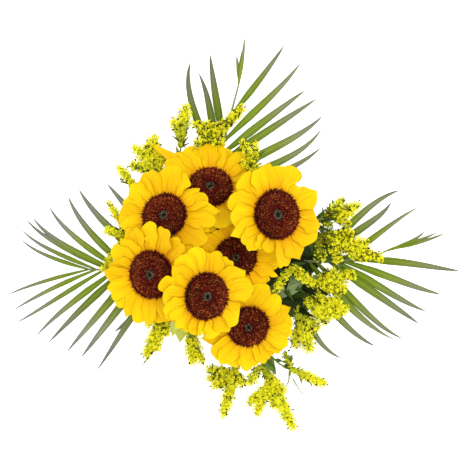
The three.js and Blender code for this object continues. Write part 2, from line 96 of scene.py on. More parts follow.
# Each bloom's upper petals, in its own axes: bearing, and reach and width as parts of the bloom's reach.
PETALS = {
    "top": [
        (45, 1.1, 0.48), (62, 1.09, 0.46), (77, 1.05, 0.40), (93, 1.04, 0.46), (110, 1.05, 0.40),
        (124, 1.04, 0.40), (138, 1.09, 0.44), (151, 1.07, 0.44), (169, 1.12, 0.50), (187, 1.08, 0.46),
        (206, 1.0, 0.42), (226, 0.96, 0.44), (246, 0.98, 0.44), (266, 1.0, 0.44), (285, 0.98, 0.42),
        (304, 0.98, 0.44), (323, 1.0, 0.42), (342, 1.04, 0.44), (0, 1.08, 0.46), (15, 1.08, 0.42),
        (30, 1.07, 0.44),
    ],
    "upper_left": [
        (88, 1.06, 0.58), (66, 0.97, 0.42), (112, 1.04, 0.40), (127, 1.0, 0.36), (141, 0.98, 0.42),
        (159, 0.95, 0.46), (178, 0.96, 0.50), (197, 0.95, 0.46), (214, 0.97, 0.42), (231, 1.0, 0.42),
        (250, 1.0, 0.44), (270, 1.02, 0.46), (290, 1.05, 0.46), (308, 1.08, 0.44), (323, 1.1, 0.46),
        (338, 1.04, 0.42), (353, 1.13, 0.40), (8, 1.17, 0.42), (22, 0.96, 0.38), (39, 0.9, 0.40),
    ],
    "right": [
        (79, 1.02, 0.64), (104, 1.01, 0.40), (120, 1.01, 0.40), (141, 1.0, 0.52), (162, 1.07, 0.48),
        (183, 0.97, 0.48), (201, 1.06, 0.38), (220, 0.94, 0.46), (239, 0.76, 0.30), (257, 0.76, 0.32),
        (281, 1.02, 0.42), (301, 0.97, 0.50), (327, 0.96, 0.52), (353, 0.99, 0.50), (26, 1.0, 0.46),
    ],
    "lower_left": [
        (97, 1.02, 0.48), (71, 1.0, 0.56), (46, 0.98, 0.46), (25, 1.0, 0.42), (8, 1.0, 0.42),
        (349, 0.98, 0.44), (330, 0.96, 0.44), (312, 0.98, 0.44), (296, 1.0, 0.42), (280, 0.94, 0.38),
        (265, 0.97, 0.36), (250, 0.99, 0.38), (234, 1.0, 0.42), (218, 1.01, 0.42), (202, 1.0, 0.44),
        (186, 1.03, 0.40), (168, 0.96, 0.42), (150, 1.01, 0.42), (133, 0.96, 0.38), (117, 0.99, 0.38),
    ],
    "front": [
        (84, 0.91, 0.62), (58, 0.86, 0.42), (30, 0.94, 0.56), (8, 0.98, 0.48), (349, 0.78, 0.36),
        (331, 0.85, 0.48), (308, 0.87, 0.50), (287, 0.83, 0.46), (268, 0.78, 0.34), (250, 0.78, 0.36),
        (232, 0.81, 0.42), (216, 0.89, 0.44), (198, 0.97, 0.46), (180, 1.01, 0.46), (161, 1.03, 0.48),
        (143, 0.96, 0.44), (126, 0.99, 0.44), (108, 0.97, 0.38),
    ],
    "middle": [
        (108, 0.88, 0.36), (82, 0.95, 0.46), (58, 0.95, 0.46), (36, 0.95, 0.42), (20, 0.93, 0.36),
        (5, 0.98, 0.36), (350, 0.98, 0.34), (337, 1.04, 0.32), (321, 0.97, 0.42), (303, 0.97, 0.46),
        (284, 1.0, 0.46), (262, 0.98, 0.46), (240, 0.98, 0.46), (218, 0.98, 0.44), (196, 0.98, 0.44),
        (174, 0.98, 0.44), (152, 0.95, 0.42), (132, 0.76, 0.34),
    ],
    "bottom": [
        (100, 1.0, 0.46), (78, 1.03, 0.48), (59, 0.88, 0.46), (41, 0.95, 0.46), (23, 1.01, 0.46),
        (6, 0.98, 0.44), (350, 1.0, 0.40), (336, 0.99, 0.36), (322, 0.98, 0.34), (309, 0.9, 0.32),
        (295, 0.93, 0.34), (281, 1.01, 0.34), (267, 1.0, 0.36), (252, 0.99, 0.40), (236, 1.0, 0.44),
        (219, 1.01, 0.44), (202, 1.06, 0.44), (185, 1.06, 0.44), (167, 1.0, 0.44), (146, 0.98, 0.46),
        (123, 0.98, 0.46),
    ],
}

# The bearings of petals that end in a point, as the others are round or notched.
POINTED = {
    "top": (206, 246, 15), "upper_left": (8, 39, 197, 338), "right": (26, 353, 201, 301),
    "lower_left": (25, 234, 168, 133), "front": (30, 308, 143), "middle": (337, 284),
    "bottom": (23, 202, 146),
}

# Petals of the lower row that reach out past the others, given as in PETALS.
STRAY = {"top": [(139, 1.52, 0.25)]}

# Each frond: its place in the bundle and the course of its rib. Each leaflet: how far before the rib's tip
# it springs, its compass bearing there, how far that turns along it and in a late hook, and its length.
# Leaflets are narrow at the rib's tip and wide from so many millimetres behind it.
RIB = {"parts": [0, 0.45, 0.8, 1.0], "radii": [2.2, 2.1, 1.7, 1.2], "rows": 70, "sides": 12}
LEAFLET = {
    "narrow": 5.4, "wide": 12.8, "widens": 80, "thickness": 0.7, "low": 0.6, "arch": 4, "sag": 0.12,
    "rows": 24, "columns": 7, "least": 0.4,
}
FRONDS = [
    # The left frond wears a painted sheen.
    {"name": "left", "slot": 190, "rib": [(-150, -48, 54), (-216, -50, 28)], "painted_sheen": True, "leaflets": [
        (5, 193, 6, 6, 125), (18, 200, 12, 0, 139), (31, 210, 4, -6, 153), (51, 215, 6, 6, 156),
        (65, 219.5, 7, 0, 160), (85, 229, 0, 0, 166), (104, 232, 0, 0, 172), (122, 239, -3, 0, 188),
        (140, 236, -10, -10, 141), (165, 251, -10, -6, 177), (7, 165, -8, -20, 111), (18, 159, -4, -22, 126),
        (38, 155, -3, -20, 143), (48, 159, -14, -16, 144), (57, 149, -12, -16, 141), (70, 143, -18, -12, 140),
        (101, 138.5, -2, -16, 153), (130, 128.5, 3, 0, 146),
    ]},
    {"name": "top", "slot": 88, "rib": [(-19, 117, 42), (6, 221, 22)], "shaded": 3, "leaflets": [
        (1, 93, 4, 0, 41), (2, 85, 0, 0, 48), (6, 80, 4, 2, 72), (54, 51, 3, 4, 132), (90, 43.5, 0, 12, 160),
        (110, 38, 0, 0, 153), (122, 34, 0, 0, 168), (142, 27.5, -3, 22, 176), (158, 20.5, 4, 34, 176),
        (174, 20, 4, 20, 170), (94, 100, -2, -2, 133), (118, 105, -12, 26, 132), (137, 113.5, -3, -36, 170),
    ]},
    {"name": "right", "slot": 352, "rib": [(107, -38, 50), (192, -32, 38), (230, -18, 26)], "leaflets": [
        (8, 11, 8, 4, 86), (14, 16, 14, 14, 66), (2, 14, 8, 4, 70), (79, 36.5, 0, -8, 134),
        (108, 50, -36, 42, 132), (119, 49, -8, -24, 162), (118, 6, -4, 0, 96), (68, 1.2, -18, 10, 161),
        (82, -16.5, -10, 14, 155), (92, -28, -8, 16, 154), (101, -34.4, 0, 0, 161), (120, -45.2, -2, 24, 173),
        (131, -49, 5, 24, 176), (145, -59.5, 16, 18, 170), (160, -77, 16, 38, 168),
    ]},
]

# Each goldenrod stem stands at its slot in the bundle and forks to its sprays. A spray's main finger runs
# from its foot to its tip. Each side finger: how far it turns, where it leaves, and its share of the reach.
# A finger arches by a share of its reach, and side fingers are flatter and slimmer than the main one.
# speck: the share of a spray's spots that hold a dark speck, painted shade in the gaps and dark green bits.
PLUME = {"arch": 0.1, "neck": 16, "fork": 0.45, "flatter": 0.6, "slimmer": 0.72, "speck": 0.07}


def plan(name, foot, tip, girth, *fingers, **more):
    """A spray. More may say its core's tint, and what shares of it are green, specks or unopened."""
    return {"name": name, "from": foot, "to": tip, "girth": girth, "fingers": fingers, **more}


GOLDENROD = {
    "top": (110, [
        plan("spike", (-78, 124, 44), (-71, 187, 26), 19, (25, 0.15, 0.55), green=0.1, unopened=0.5),
        plan("crest", (-46, 126, 60), (12, 182, 56), 17,
             (132, 0.5, 0.52), (120, 0.3, 0.3), (-40, 0.1, 0.3), (138, 0.1, 0.2), core="shade", speck=0.2),
    ]),
    "upper_right": (62, [
        plan("notch", (34, 82, 100), (11, 132, 84), 13,
             (-28, 0.3, 0.6), (26, 0.1, 0.5), core="shade", speck=0.16),
    ]),
    "upper_left": (132, [
        plan("corner", (-112, 88, 62), (-118, 141, 34), 21,
             (71, 0.09, 0.7), (37, 0.1, 0.88), (20, 0.35, 0.5), (-30, 0.05, 0.5)),
        plan("edge", (-142, 66, 50), (-167, 98, 30), 12),
    ]),
    "left": (168, [
        plan("west", (-146, 2, 66), (-184, 6, 58), 13, (-51, 0.15, 1.38), (60, 0.15, 1.7)),
    ]),
    "right": (16, [
        plan("shoulder", (116, 22, 84), (178, 43, 54), 16,
             (22, 0.15, 0.6), (-14, 0.25, 0.55), (-42, 0.02, 0.34), (-42, 0.28, 0.46),
             core="shade", speck=0.1, unopened=0.4),
        plan("arm", (104, 2, 76), (208, -33, 66), 22,
             (22, 0.08, 0.5), (-62, 0.12, 0.3), (-45, 0.28, 0.28), (14, 0.28, 0.5), (-10, 0.4, 0.42),
             core="shade", speck=0.12, unopened=0.36),
    ]),
    "lower_right": (332, [
        plan("inner", (78, -44, 84), (110, -68, 98), 17, (-88, 0.05, 1.06)),
        plan("east", (106, -70, 74), (169, -56, 60), 20, (18, 0.1, 0.55), (-26, 0.2, 0.62), core="shade"),
        plan("elbow", (96, -94, 66), (158, -108, 54), 26,
             (38, 0.05, 0.62), (-34, 0.15, 0.6), (18, 0.3, 0.55), (-16, 0.4, 0.5)),
        plan("hip", (88, -110, 48), (108, -166, 22), 24,
             (36, 0.08, 0.6), (-30, 0.25, 0.62), (168, 0.02, 0.36), speck=0.1, unopened=0.36),
    ]),
    "lower_left": (238, [
        plan("heel", (-96, -108, 62), (-128, -174, 36), 20,
             (24, 0.05, 0.42), (-34, 0.05, 0.45), (14, 0.3, 0.5)),
        plan("tuft", (-66, -128, 46), (-60, -184, 20), 17, (13, 0.05, 1.0)),
    ]),
    "bottom": (290, [
        plan("toe", (2, -186, 40), (-17, -263, 3), 18,
             (-80, 0.14, 0.5), (-58, 0.3, 0.38), (40, 0.1, 0.32), (-70, 0.22, 0.46), speck=0.14),
        plan("skirt", (38, -184, 44), (85, -281, 3), 20,
             (-62, 0.02, 0.3), (-73, 0.3, 0.41), (-46, 0.25, 0.51), (-12, 0.15, 0.47), (14, 0.1, 0.4),
             unopened=0.2),
        plan("wing", (76, -190, 46), (131, -216, 24), 15, (138, 0.1, 0.43), unopened=0.42),
    ]),
}

# Thin curled tendrils among the lowest sprays: the points that each passes through.
TENDRILS = {"bottom": [
    [(4, -204, 30), (8, -212, 24), (13, -214, 20), (20, -211, 20)],
    [(78, -196, 40), (77, -212, 26), (71, -221, 18), (63, -223, 16)],
    [(84, -208, 34), (90, -219, 18), (99, -232, 8)],
]}

# The leaves of goldenrod stems: how many, how long, and their tints. Two stems have more than most.
# A leaf's width is a share of its length.
SMALL_LEAF = {"width": 0.2, "thickness": 0.35, "rows": 9, "columns": 5}
# The dark tint is painted shade on leaves that lie under others.
LEAFY = {
    "lower_right": (30, 40, ("dark", "green", "mid")), "right": (30, 34, ("green", "mid", "grey")),
    "others": (16, 24, ("mid", "soft", "grey")), "spray": (7, 17, ("mid", "soft", "grey")),
}

# Each leaf springs from a ring of a bloom's stem and runs to its tip: stem, ring, tip, width and tint.
# The first of each group is the solid leaf. The rest are those that crowd round it under the blooms.
LEAF = {"stalk": 9, "rows": 30, "columns": 15, "veins": 9}
# Leaves tinted dark wear painted shade, as they lie under the blooms.
LEAVES = {
    "inner": [
        ("right", 4, (110, -30, 96), 34, "dark"), ("right", 4, (90, -36, 84), 30, "dark"),
        ("right", 5, (74, -22, 74), 30, "dark"), ("middle", 3, (80, -48, 78), 34, "dark"),
        ("middle", 4, (58, -62, 80), 30, "dark"), ("middle", 3, (94, -68, 70), 34, "green"),
        ("right", 4, (120, -22, 66), 34, "dark"), ("bottom", 3, (68, -92, 84), 34, "green"),
        ("bottom", 4, (98, -94, 70), 34, "dark"), ("bottom", 4, (130, -56, 76), 24, "grey"),
        ("middle", 4, (128, -84, 74), 22, "grey"), ("right", 5, (106, -56, 58), 34, "dark"),
        ("bottom", 4, (104, -112, 34), 28, "mid"), ("bottom", 4, (150, -8, 30), 40, "dark"),
        ("bottom", 4, (120, -103, 38), 30, "green"), ("right", 4, (158, -42, 56), 24, "mid"),
        ("bottom", 4, (128, -70, 52), 34, "dark"),
    ],
    "core": [
        ("middle", 5, (-30, 20, 88), 24, "dark"), ("middle", 4, (-62, 6, 80), 30, "dark"),
        ("middle", 4, (-66, -26, 84), 30, "dark"), ("middle", 5, (-34, 2, 84), 30, "green"),
    ],
    "low": [("bottom", 4, (57, -192, 63), 27, "mid"), ("bottom", 3, (59, -200, 60), 24, "soft")],
    "bud": [
        ("front", 5, (-79, -153, 64), 32, "pale"), ("front", 4, (-90, -144, 66), 20, "pale"),
        ("front", 5, (-62, -148, 58), 16, "soft"),
    ],
}

UP = np.array([0.0, 0.0, 1.0])


def bundle_shift():
    """How far the bundle's own axes lie from the frame's, from where the frame has its tie."""
    low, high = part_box("twine_tie")
    centre = (low + high) / 2 / MM
    return np.array([centre.x - AXIS[0], centre.y - AXIS[1], 0.0])


SHIFT = bundle_shift()

# ---- vectors and curves ----


def unit(v):
    v = np.asarray(v, float)
    return v / np.linalg.norm(v, axis=-1, keepdims=True)


def mix(a, b, part):
    return a + (b - a) * part


def leaning(lean, tilt):
    """A unit vector that leans from +Z by tilt degrees towards the compass angle lean."""
    lean, tilt = math.radians(lean), math.radians(tilt)
    return np.array([math.sin(tilt) * math.cos(lean), math.sin(tilt) * math.sin(lean), math.cos(tilt)])


def ring_vectors(angle):
    """Unit vectors outwards at each angle round +Z, and those square to them."""
    cos, sin, flat = np.cos(angle), np.sin(angle), np.zeros_like(angle)
    return np.stack([cos, sin, flat], -1), np.stack([-sin, cos, flat], -1)


def swung(across, over, angle):
    """Unit vectors at each angle, from across towards over."""
    return across * np.cos(angle)[:, None] + over * np.sin(angle)[:, None]


def standing_on(normals):
    """One 3 by 3 frame for each normal, with that normal as its third axis."""
    normals = unit(np.atleast_2d(normals))
    helper = np.where(np.abs(normals[:, :1]) < 0.9, [[1.0, 0, 0]], [[0, 1.0, 0]])
    first = unit(np.cross(helper, normals))
    return np.stack([first, np.cross(normals, first), normals], axis=-1)


def beside(headings, angle):
    """Unit vectors square to the headings, at each angle round them."""
    frames = standing_on(headings)
    return swung(frames[:, :, 0], frames[:, :, 1], angle)


def slender(width, height):
    """Sizes for scattered shapes: the same width both ways, and a height."""
    return np.stack(np.broadcast_arrays(width, width, height), -1)


def spline(knots, fine=24):
    """Points on the centripetal curve through the knots."""
    knots = np.asarray(knots, float)
    ends = np.vstack([2 * knots[0] - knots[1], knots, 2 * knots[-1] - knots[-2]])
    part = np.linspace(0, 1, fine, endpoint=False)[:, None]
    pieces = []
    for p0, p1, p2, p3 in zip(ends, ends[1:], ends[2:], ends[3:]):
        d0, d1, d2 = (math.sqrt(max(np.linalg.norm(b - a), 1e-6)) for a, b in ((p0, p1), (p1, p2), (p2, p3)))
        start = ((p1 - p0) / d0 - (p2 - p0) / (d0 + d1) + (p2 - p1) / d1) * d1
        end = ((p2 - p1) / d1 - (p3 - p1) / (d1 + d2) + (p3 - p2) / d2) * d1
        square = -3 * p1 + 3 * p2 - 2 * start - end
        cube = 2 * p1 - 2 * p2 + start + end
        pieces.append(p1 + start * part + square * part**2 + cube * part**3)
    return np.vstack(pieces + [knots[-1:]])


class Course:
    """A line through points, measured by its length from the start."""

    def __init__(self, points):
        self.points = np.asarray(points, float)
        steps = np.linalg.norm(np.diff(self.points, axis=0), axis=1)
        self.reach = np.concatenate([[0], np.cumsum(steps)])
        self.length = self.reach[-1]

    def at(self, distance):
        return np.stack([np.interp(distance, self.reach, self.points[:, k]) for k in range(3)], axis=-1)

    def heading(self, distance, step=0.6):
        distance = np.asarray(distance, float)
        return unit(self.at(distance + step) - self.at(distance - step))

    def frames(self, distances, side=None):
        """Places, and two directions square to the course that slide along it without twisting."""
        headings = self.heading(distances)
        if side is None:
            side = (1.0, 0, 0) if abs(headings[0][0]) < 0.9 else (0, 1.0, 0)
        across = np.asarray(side, float)
        slid = []
        for heading in headings:
            across = unit(across - heading * (across @ heading))
            slid.append(across)
        slid = np.array(slid)
        return self.at(distances), slid, np.cross(headings, slid)


def in_bundle(slot, radius):
    """Where a stem stands: at its angle in the bundle, or in the middle if it has none."""
    angle = math.radians(slot or 0)
    radius = 0 if slot is None else radius
    return np.array([AXIS[0] + radius * math.cos(angle), AXIS[1] + radius * math.sin(angle)])


def bloom_axes(bloom):
    """A bloom's own axes as columns: the shortest turn that takes +Z to the way it faces."""
    facing = leaning(bloom["lean"], bloom["tilt"])
    v = np.cross(UP, facing)
    skew = np.array([[0, -v[2], v[1]], [v[2], 0, -v[0]], [-v[1], v[0], 0]])
    return np.eye(3) + skew + skew @ skew / (1 + facing[2])


def stem_straight(bloom):
    """How high the straight part of a bloom's stem reaches."""
    return STEM["straight_middle"] if bloom["slot"] is None else STEM["straight"]


def bloom_stem_course(bloom):
    """Straight back from the bloom, then round and down into the bundle."""
    back = -leaning(bloom["lean"], bloom["tilt"])
    head = np.array(bloom["at"]) + back * CUP["below"]
    foot = in_bundle(bloom["slot"], STEM["ring"])
    straight = stem_straight(bloom)
    run = min(STEM["back"], 0.62 * (bloom["at"][2] - STEM["straight"]))
    lower = [(foot[0], foot[1], z) for z in (straight, straight / 2, 0)]
    return Course(spline([head, head + back * run / 2, head + back * run, *lower]))


def stem_radius(bloom, distance):
    """The cup's radius at the bloom, falling smoothly to its stem's."""
    fallen = np.sin(math.pi / 2 * np.clip(distance / CUP["depth"], 0, 1)) ** CUP["fall"]
    return mix(bloom["disc"] * CUP["radius"], STEM["radius"], fallen)


def thin_stem_course(slot, onward):
    """Up through the outer ring of the bundle, over its elbow, and on through the given points."""
    foot = in_bundle(slot, TWIG["ring"])
    elbow = in_bundle(slot, TWIG["ring"] + TWIG["out"])
    rise = [(foot[0], foot[1], z) for z in (0, TWIG["straight"] / 2, TWIG["straight"])]
    return Course(spline([*rise, (elbow[0], elbow[1], TWIG["elbow"]), *onward]))


def finger_course(start, end, arch):
    return Course(spline([start, (start + end) / 2 + UP * arch, end]))


def spray_fingers(plume):
    """The main finger of a spray and its side fingers, each with its girth."""
    start, end = np.array(plume["from"], float), np.array(plume["to"], float)
    axis = end - start
    arch = PLUME["arch"] * np.linalg.norm(axis)
    fingers = [(finger_course(start, end, arch), plume["girth"])]
    arch *= PLUME["flatter"]
    for turn, leaves, share in plume["fingers"]:
        root = start + axis * leaves + UP * arch
        cos, sin = math.cos(math.radians(turn)), math.sin(math.radians(turn))
        x, y, z = axis * share
        reach = np.array([x * cos - y * sin, y * cos + x * sin, z])
        fingers.append((finger_course(root, root + reach, arch), PLUME["slimmer"] * plume["girth"]))
    return fingers


# ---- meshes ----

NARROWEST = 0.12  # half the width that a blade keeps at its tip
TILES = 4  # a finish holds 4 by 4 tints, each in its own square of the map
INSET = 0.04  # how far a shape's places on the map keep from the edge of their square


class Heap:
    """Many small shapes, joined into one mesh. Every face corner has a place on the map."""

    def __init__(self):
        self.points = []
        self.faces = []
        self.places = []
        self.count = 0

    def add(self, points, faces, places, tints=0):
        """Shapes that share their faces: points is shapes x corners x 3, tints one square for each."""
        points = np.asarray(points, float)
        if points.ndim == 2:
            points = points[None]
        shapes, corners = points.shape[:2]
        if not outward(points[0], faces):
            faces = faces[:, ::-1]
            places = places[:, ::-1]
        starts = self.count + corners * np.arange(shapes)
        tints = np.broadcast_to(np.asarray(tints), (shapes,))
        squares = np.stack([tints % TILES, tints // TILES], axis=-1)
        inset = INSET + (1 - 2 * INSET) * np.clip(places, 0, 1)
        self.points.append(points.reshape(-1, 3))
        self.faces.append((faces[None] + starts[:, None, None]).reshape(-1, 3))
        self.places.append(((inset[None] + squares[:, None, None, :]) / TILES).reshape(-1, 3, 2))
        self.count += shapes * corners

    def scatter(self, template, spots, axes, sizes, tints=0):
        """The same small shape at many spots: its axes are columns, its sizes one or three numbers each."""
        points, faces, places = template
        scaled = points[None] * sizes.reshape(len(spots), -1)[:, None, :]
        self.add(stand(scaled, spots, axes), faces, places, tints)

    def limb(self, course, size, tint, **more):
        """A round limb along the whole of a course: its rows, first and last radius, and sides."""
        rows, first, last, sides = size
        distances = np.linspace(0, course.length, rows)
        self.add(*tube(course, distances, np.linspace(first, last, rows), sides, **more), tint)


def stand(points, spots, axes):
    return np.einsum("nij,nkj->nki", axes, points) + spots[:, None, :]


def outward(points, faces):
    a, b, c = (points[faces[:, k]] - points.mean(axis=0) for k in range(3))
    return np.einsum("ij,ij->", a, np.cross(b, c)) > 0


def skin_faces(rows, around, u, v):
    """The faces of a closed skin over rows of corners. u has a place for each strip's two sides."""
    u, v = np.asarray(u, float), np.asarray(v, float)
    grid = np.meshgrid(np.arange(rows - 1), np.arange(around), indexing="ij")
    row, column = (k.ravel() for k in grid)
    a, b = row * around + column, row * around + (column + 1) % around
    c, d = b + around, a + around
    pa, pb, pc, pd = (np.stack([u[column + k], v[row + m]], -1) for k, m in ((0, 0), (1, 0), (1, 1), (0, 1)))
    ring = np.arange(1, around - 1)
    hub = np.zeros_like(ring)
    first, last = np.stack([hub, ring + 1, ring], -1), np.stack([hub, ring, ring + 1], -1)
    faces = [np.stack([a, b, c], -1), np.stack([a, c, d], -1), first, last + (rows - 1) * around]
    places = [np.stack([pa, pb, pc], 1), np.stack([pa, pc, pd], 1)]
    places += [np.stack([u[end], np.full(end.shape, v[k])], -1) for end, k in ((first, 0), (last, -1))]
    return np.concatenate(faces), np.concatenate(places)


def tube(course, distances, radii, sides, ridges=0.0, count=1, phase=0.0):
    """A round limb along a course, with low ridges along it, as one ready shape."""
    at, across, over = course.frames(distances)
    angle = np.linspace(0, 2 * math.pi, sides, endpoint=False)
    girth = np.asarray(radii, float)[:, None] * (1 + ridges * np.cos(count * angle + phase))
    points = (at[:, None] + across[:, None] * (girth * np.cos(angle))[..., None]
              + over[:, None] * (girth * np.sin(angle))[..., None])
    v = np.asarray(distances) / max(distances[-1], 1e-6)
    faces, places = skin_faces(len(distances), sides, np.linspace(0, 1, sides + 1), v)
    return points.reshape(-1, 3), faces, places


def turned_profile(profile, sides):
    """A small closed shape of revolution about +Z from (radius, height) pairs."""
    radius, height = np.array(profile, float).T[:, :, None, None]
    out, _ = ring_vectors(np.linspace(0, 2 * math.pi, sides, endpoint=False))
    rows = len(profile)
    faces, places = skin_faces(rows, sides, np.linspace(0, 1, sides + 1), np.linspace(0, 1, rows))
    return (out * radius + UP * height).reshape(-1, 3), faces, places


def blade_loop(columns):
    """A blade's cross-section: parts across it, from edge to edge above and back below."""
    s = np.sin(np.linspace(-math.pi / 2, math.pi / 2, columns))
    side = np.concatenate([np.ones(columns), -np.ones(columns - 2)])
    side[[0, columns - 1]] = 0
    return np.concatenate([s, s[-2:0:-1]]), side


def plump(s):
    """A blade's rounding: full in its middle and nothing at its edges."""
    return np.sqrt(np.maximum(1 - s**2, 0))


def blade_skin(rows, s, t):
    return skin_faces(rows, len(s), (np.append(s, s[0]) + 1) / 2, t)


def ribbon(course, part, side, s, x, lift):
    """A blade along a course, from how far across it and above it each corner lies."""
    at, across, over = course.frames(part * course.length, side)
    points = at[:, None] + across[:, None] * x[..., None] + over[:, None] * lift[..., None]
    return points.reshape(-1, 3), *blade_skin(len(part), s, part)


def blades(rows, columns, profile, **shape):
    """Thin leaf-like shapes, all at once, each in its own axes: X across, Y along, Z up.

    profile gives the half width at parts along them. shape holds one number, or one for each blade:
    length, width, thickness, fold, cup, crease and creases, ripple, waves and phase, sway, notch, wobble,
    and in radians pitch, bend, curl, roll and twist.
    """
    count = len(shape["length"])

    def each(name, default=0.0):
        return np.broadcast_to(np.asarray(shape.get(name, default), float), (count,))[:, None, None]

    t = 1 - (1 - np.linspace(0, 1, rows)) ** 1.5
    s, side = blade_loop(columns)
    faces, places = blade_skin(rows, s, t)
    t, s, side = t[None, :, None], s[None, None, :], side[None, None, :]
    half = np.maximum(each("width") / 2 * profile(t), NARROWEST)
    first, second = shape.get("wobble", np.zeros((2, count)))[:, :, None, None]
    half = half * (1 + first * np.sin(7 * t + 3 * np.sign(s)) + second * np.sin(15 * t - 2 * np.sign(s)))
    slope = each("pitch") + each("bend") * t + each("curl") * t**4
    middles = (slope[:, 1:] + slope[:, :-1]) / 2
    along, rise = (
        each("length") * np.concatenate([np.zeros((count, 1, 1)), np.cumsum(way, axis=1)], axis=1)
        for way in (np.cos(middles) * np.diff(t, axis=1), np.sin(middles) * np.diff(t, axis=1)))
    x = half * s
    along = along - each("notch") * np.exp(-(x / (0.16 * each("width"))) ** 2) * t**6
    wave = np.sin(2 * math.pi * (each("waves", 1.5) * t + each("phase") + 0.25 * np.sign(s)))
    lift = (each("cup") * half * (s**2 - 0.35) + each("fold") * half * np.abs(s)
            + each("crease") * np.cos(each("creases", 3) * math.pi * s) * np.clip(1.3 - t, 0, 1) * (t + 0.15)
            + each("ripple") * s**2 * wave * t
            + side * each("thickness", 0.5) / 2 * plump(s) * (1.3 - 0.7 * t))
    angle = each("roll") + each("twist") * t
    x, lift = x * np.cos(angle) - lift * np.sin(angle), x * np.sin(angle) + lift * np.cos(angle)
    x = x + each("sway") * each("length") * t**2
    points = np.broadcast_arrays(x, along - np.sin(slope) * lift, rise + np.cos(slope) * lift)
    return np.stack(points, axis=-1).reshape(count, -1, 3), faces, places


def outline(t, waist, claw, square, taper):
    """Half width of a petal or leaf: from a narrow claw to its waist, and from there to its tip."""
    rise = claw + (1 - claw) * np.sin(math.pi / 2 * np.clip(t / waist, 0, 1))
    return rise * (1 - np.clip((t - waist) / (1 - waist), 0, 1) ** square) ** taper


def lance(t):
    """The outline of a narrow pointed leaf."""
    return outline(t, 0.3, 0.5, 1.5, 1.1)


def whorl_places(azimuths, radius, height):
    """Spots and axes for blades that stand round a centre and point outwards."""
    out, over = ring_vectors(azimuths)
    return out * radius + UP * height, np.stack([-over, out, np.broadcast_to(UP, out.shape)], axis=-1)


def add_object(name, data):
    made = bpy.data.objects.new(name, data)
    bpy.context.scene.collection.objects.link(made)
    return made


def make_piece(name, heap, finish, nodes, smooth=True):
    """One mesh of a heap of shapes, in the frame's metres, standing for its CAD nodes."""
    points = (np.concatenate(heap.points) + SHIFT) * MM
    faces = np.concatenate(heap.faces)
    places = np.concatenate(heap.places)
    mesh = bpy.data.meshes.new(name)
    mesh.vertices.add(len(points))
    mesh.vertices.foreach_set("co", points.astype(np.float32).ravel())
    mesh.loops.add(faces.size)
    mesh.loops.foreach_set("vertex_index", faces.astype(np.int32).ravel())
    mesh.polygons.add(len(faces))
    mesh.polygons.foreach_set("loop_start", np.arange(0, faces.size, 3, dtype=np.int32))
    mesh.update(calc_edges=True)
    layer = mesh.uv_layers.new(name="OFBake")
    layer.uv.foreach_set("vector", places.astype(np.float32).ravel())
    mesh.polygons.foreach_set("use_smooth", np.full(len(faces), smooth))
    mesh.materials.append(FINISHES[finish])
    mesh.update()
    piece = add_object(name, mesh)
    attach(piece, "root")
    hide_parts(*nodes)


# ---- finishes ----

# The tints of each finish that has them: display colours, 0 to 255, each in its own square of the map.
DISC_COLOURS = {
    "eye": (26, 26, 14), "green": (112, 108, 88), "olive": (92, 76, 54), "dark": (66, 18, 10),
    "maroon": (104, 26, 22), "red": (134, 44, 22), "orange": (190, 106, 50), "gold": (240, 172, 20),
    # The bed is near black: painted shade seen in the gaps between florets.
    "bed": (44, 12, 6), "russet": (148, 74, 32), "brown": (112, 54, 20),
}
GREEN_COLOURS = {
    "stem": (104, 132, 52), "bract": (96, 124, 46), "bract_pale": (132, 152, 72), "hair": (190, 200, 150),
    "rib": (126, 134, 96), "twig": (112, 124, 30),
}
ROD_COLOURS = {
    "lemon": (252, 250, 46), "yellow": (250, 244, 36), "gold": (246, 230, 16), "lime": (222, 236, 36),
    "cup": (128, 144, 26), "bud": (180, 198, 40), "olive": (92, 100, 22), "heart": (238, 212, 10),
    # The speck is dark: painted shade in the gaps between florets, and dark green bits.
    "speck": (60, 50, 10), "core": (198, 198, 40), "shade": (122, 122, 20),
}
LEAF_COLOURS = {
    "green": (54, 74, 20), "mid": (72, 94, 30), "grey": (122, 142, 92), "pale": (184, 192, 72),
    # dark is the leaf green in painted shade, for leaves that lie under the blooms.
    "soft": (92, 118, 54), "dark": (30, 42, 12),
}
# How bright each petal's tint is and how green. The last four, about a third brighter, are painted light that
# lifts the shade on the bloom under the others.
PETAL_TINTS = [
    (1.0, 1.0), (0.97, 0.98), (1.02, 1.02), (0.95, 0.95), (1.0, 1.01), (0.98, 0.98), (1.02, 1.04),
    (0.94, 0.93), (1.0, 1.0), (0.96, 0.96), (1.01, 1.03), (0.95, 0.95), (1.28, 0.98), (1.34, 1.0),
    (1.3, 0.95), (1.24, 0.97),
]
# How many plain tints come before the four of painted light.
PLAIN_PETAL_TINTS = 12
# How bright each leaflet's tint is, the last for shaded ones. The same again, bluer, is a painted sheen.
PALM_LEVELS = [1.0, 0.92, 1.06, 0.88, 1.08, 0.96, 1.02, 0.74]
SHADED_LEAFLET = 7


def squares(colours):
    """The number of each tint's square, by its name."""
    return {name: number for number, name in enumerate(colours)}


DISC_TINTS, ROD_TINTS, LEAF_TINTS = squares(DISC_COLOURS), squares(ROD_COLOURS), squares(LEAF_COLOURS)
GREEN_TINTS = {"stem": 0, "bract": 2, "bract_pale": 3, "hair": 4, "rib": 5, "twig": 6}  # 1 is free


def drawn(rng, tints, names, odds, count):
    """Squares picked at random from the named tints."""
    return rng.choice([tints[name] for name in names], count, p=odds)


def paint(red, green, blue):
    """A display colour as the linear colour that shaders take."""
    parts = (np.array([red, green, blue]) / 255).tolist()
    return tuple(p / 12.92 if p <= 0.04045 else ((p + 0.055) / 1.055) ** 2.4 for p in parts) + (1.0,)


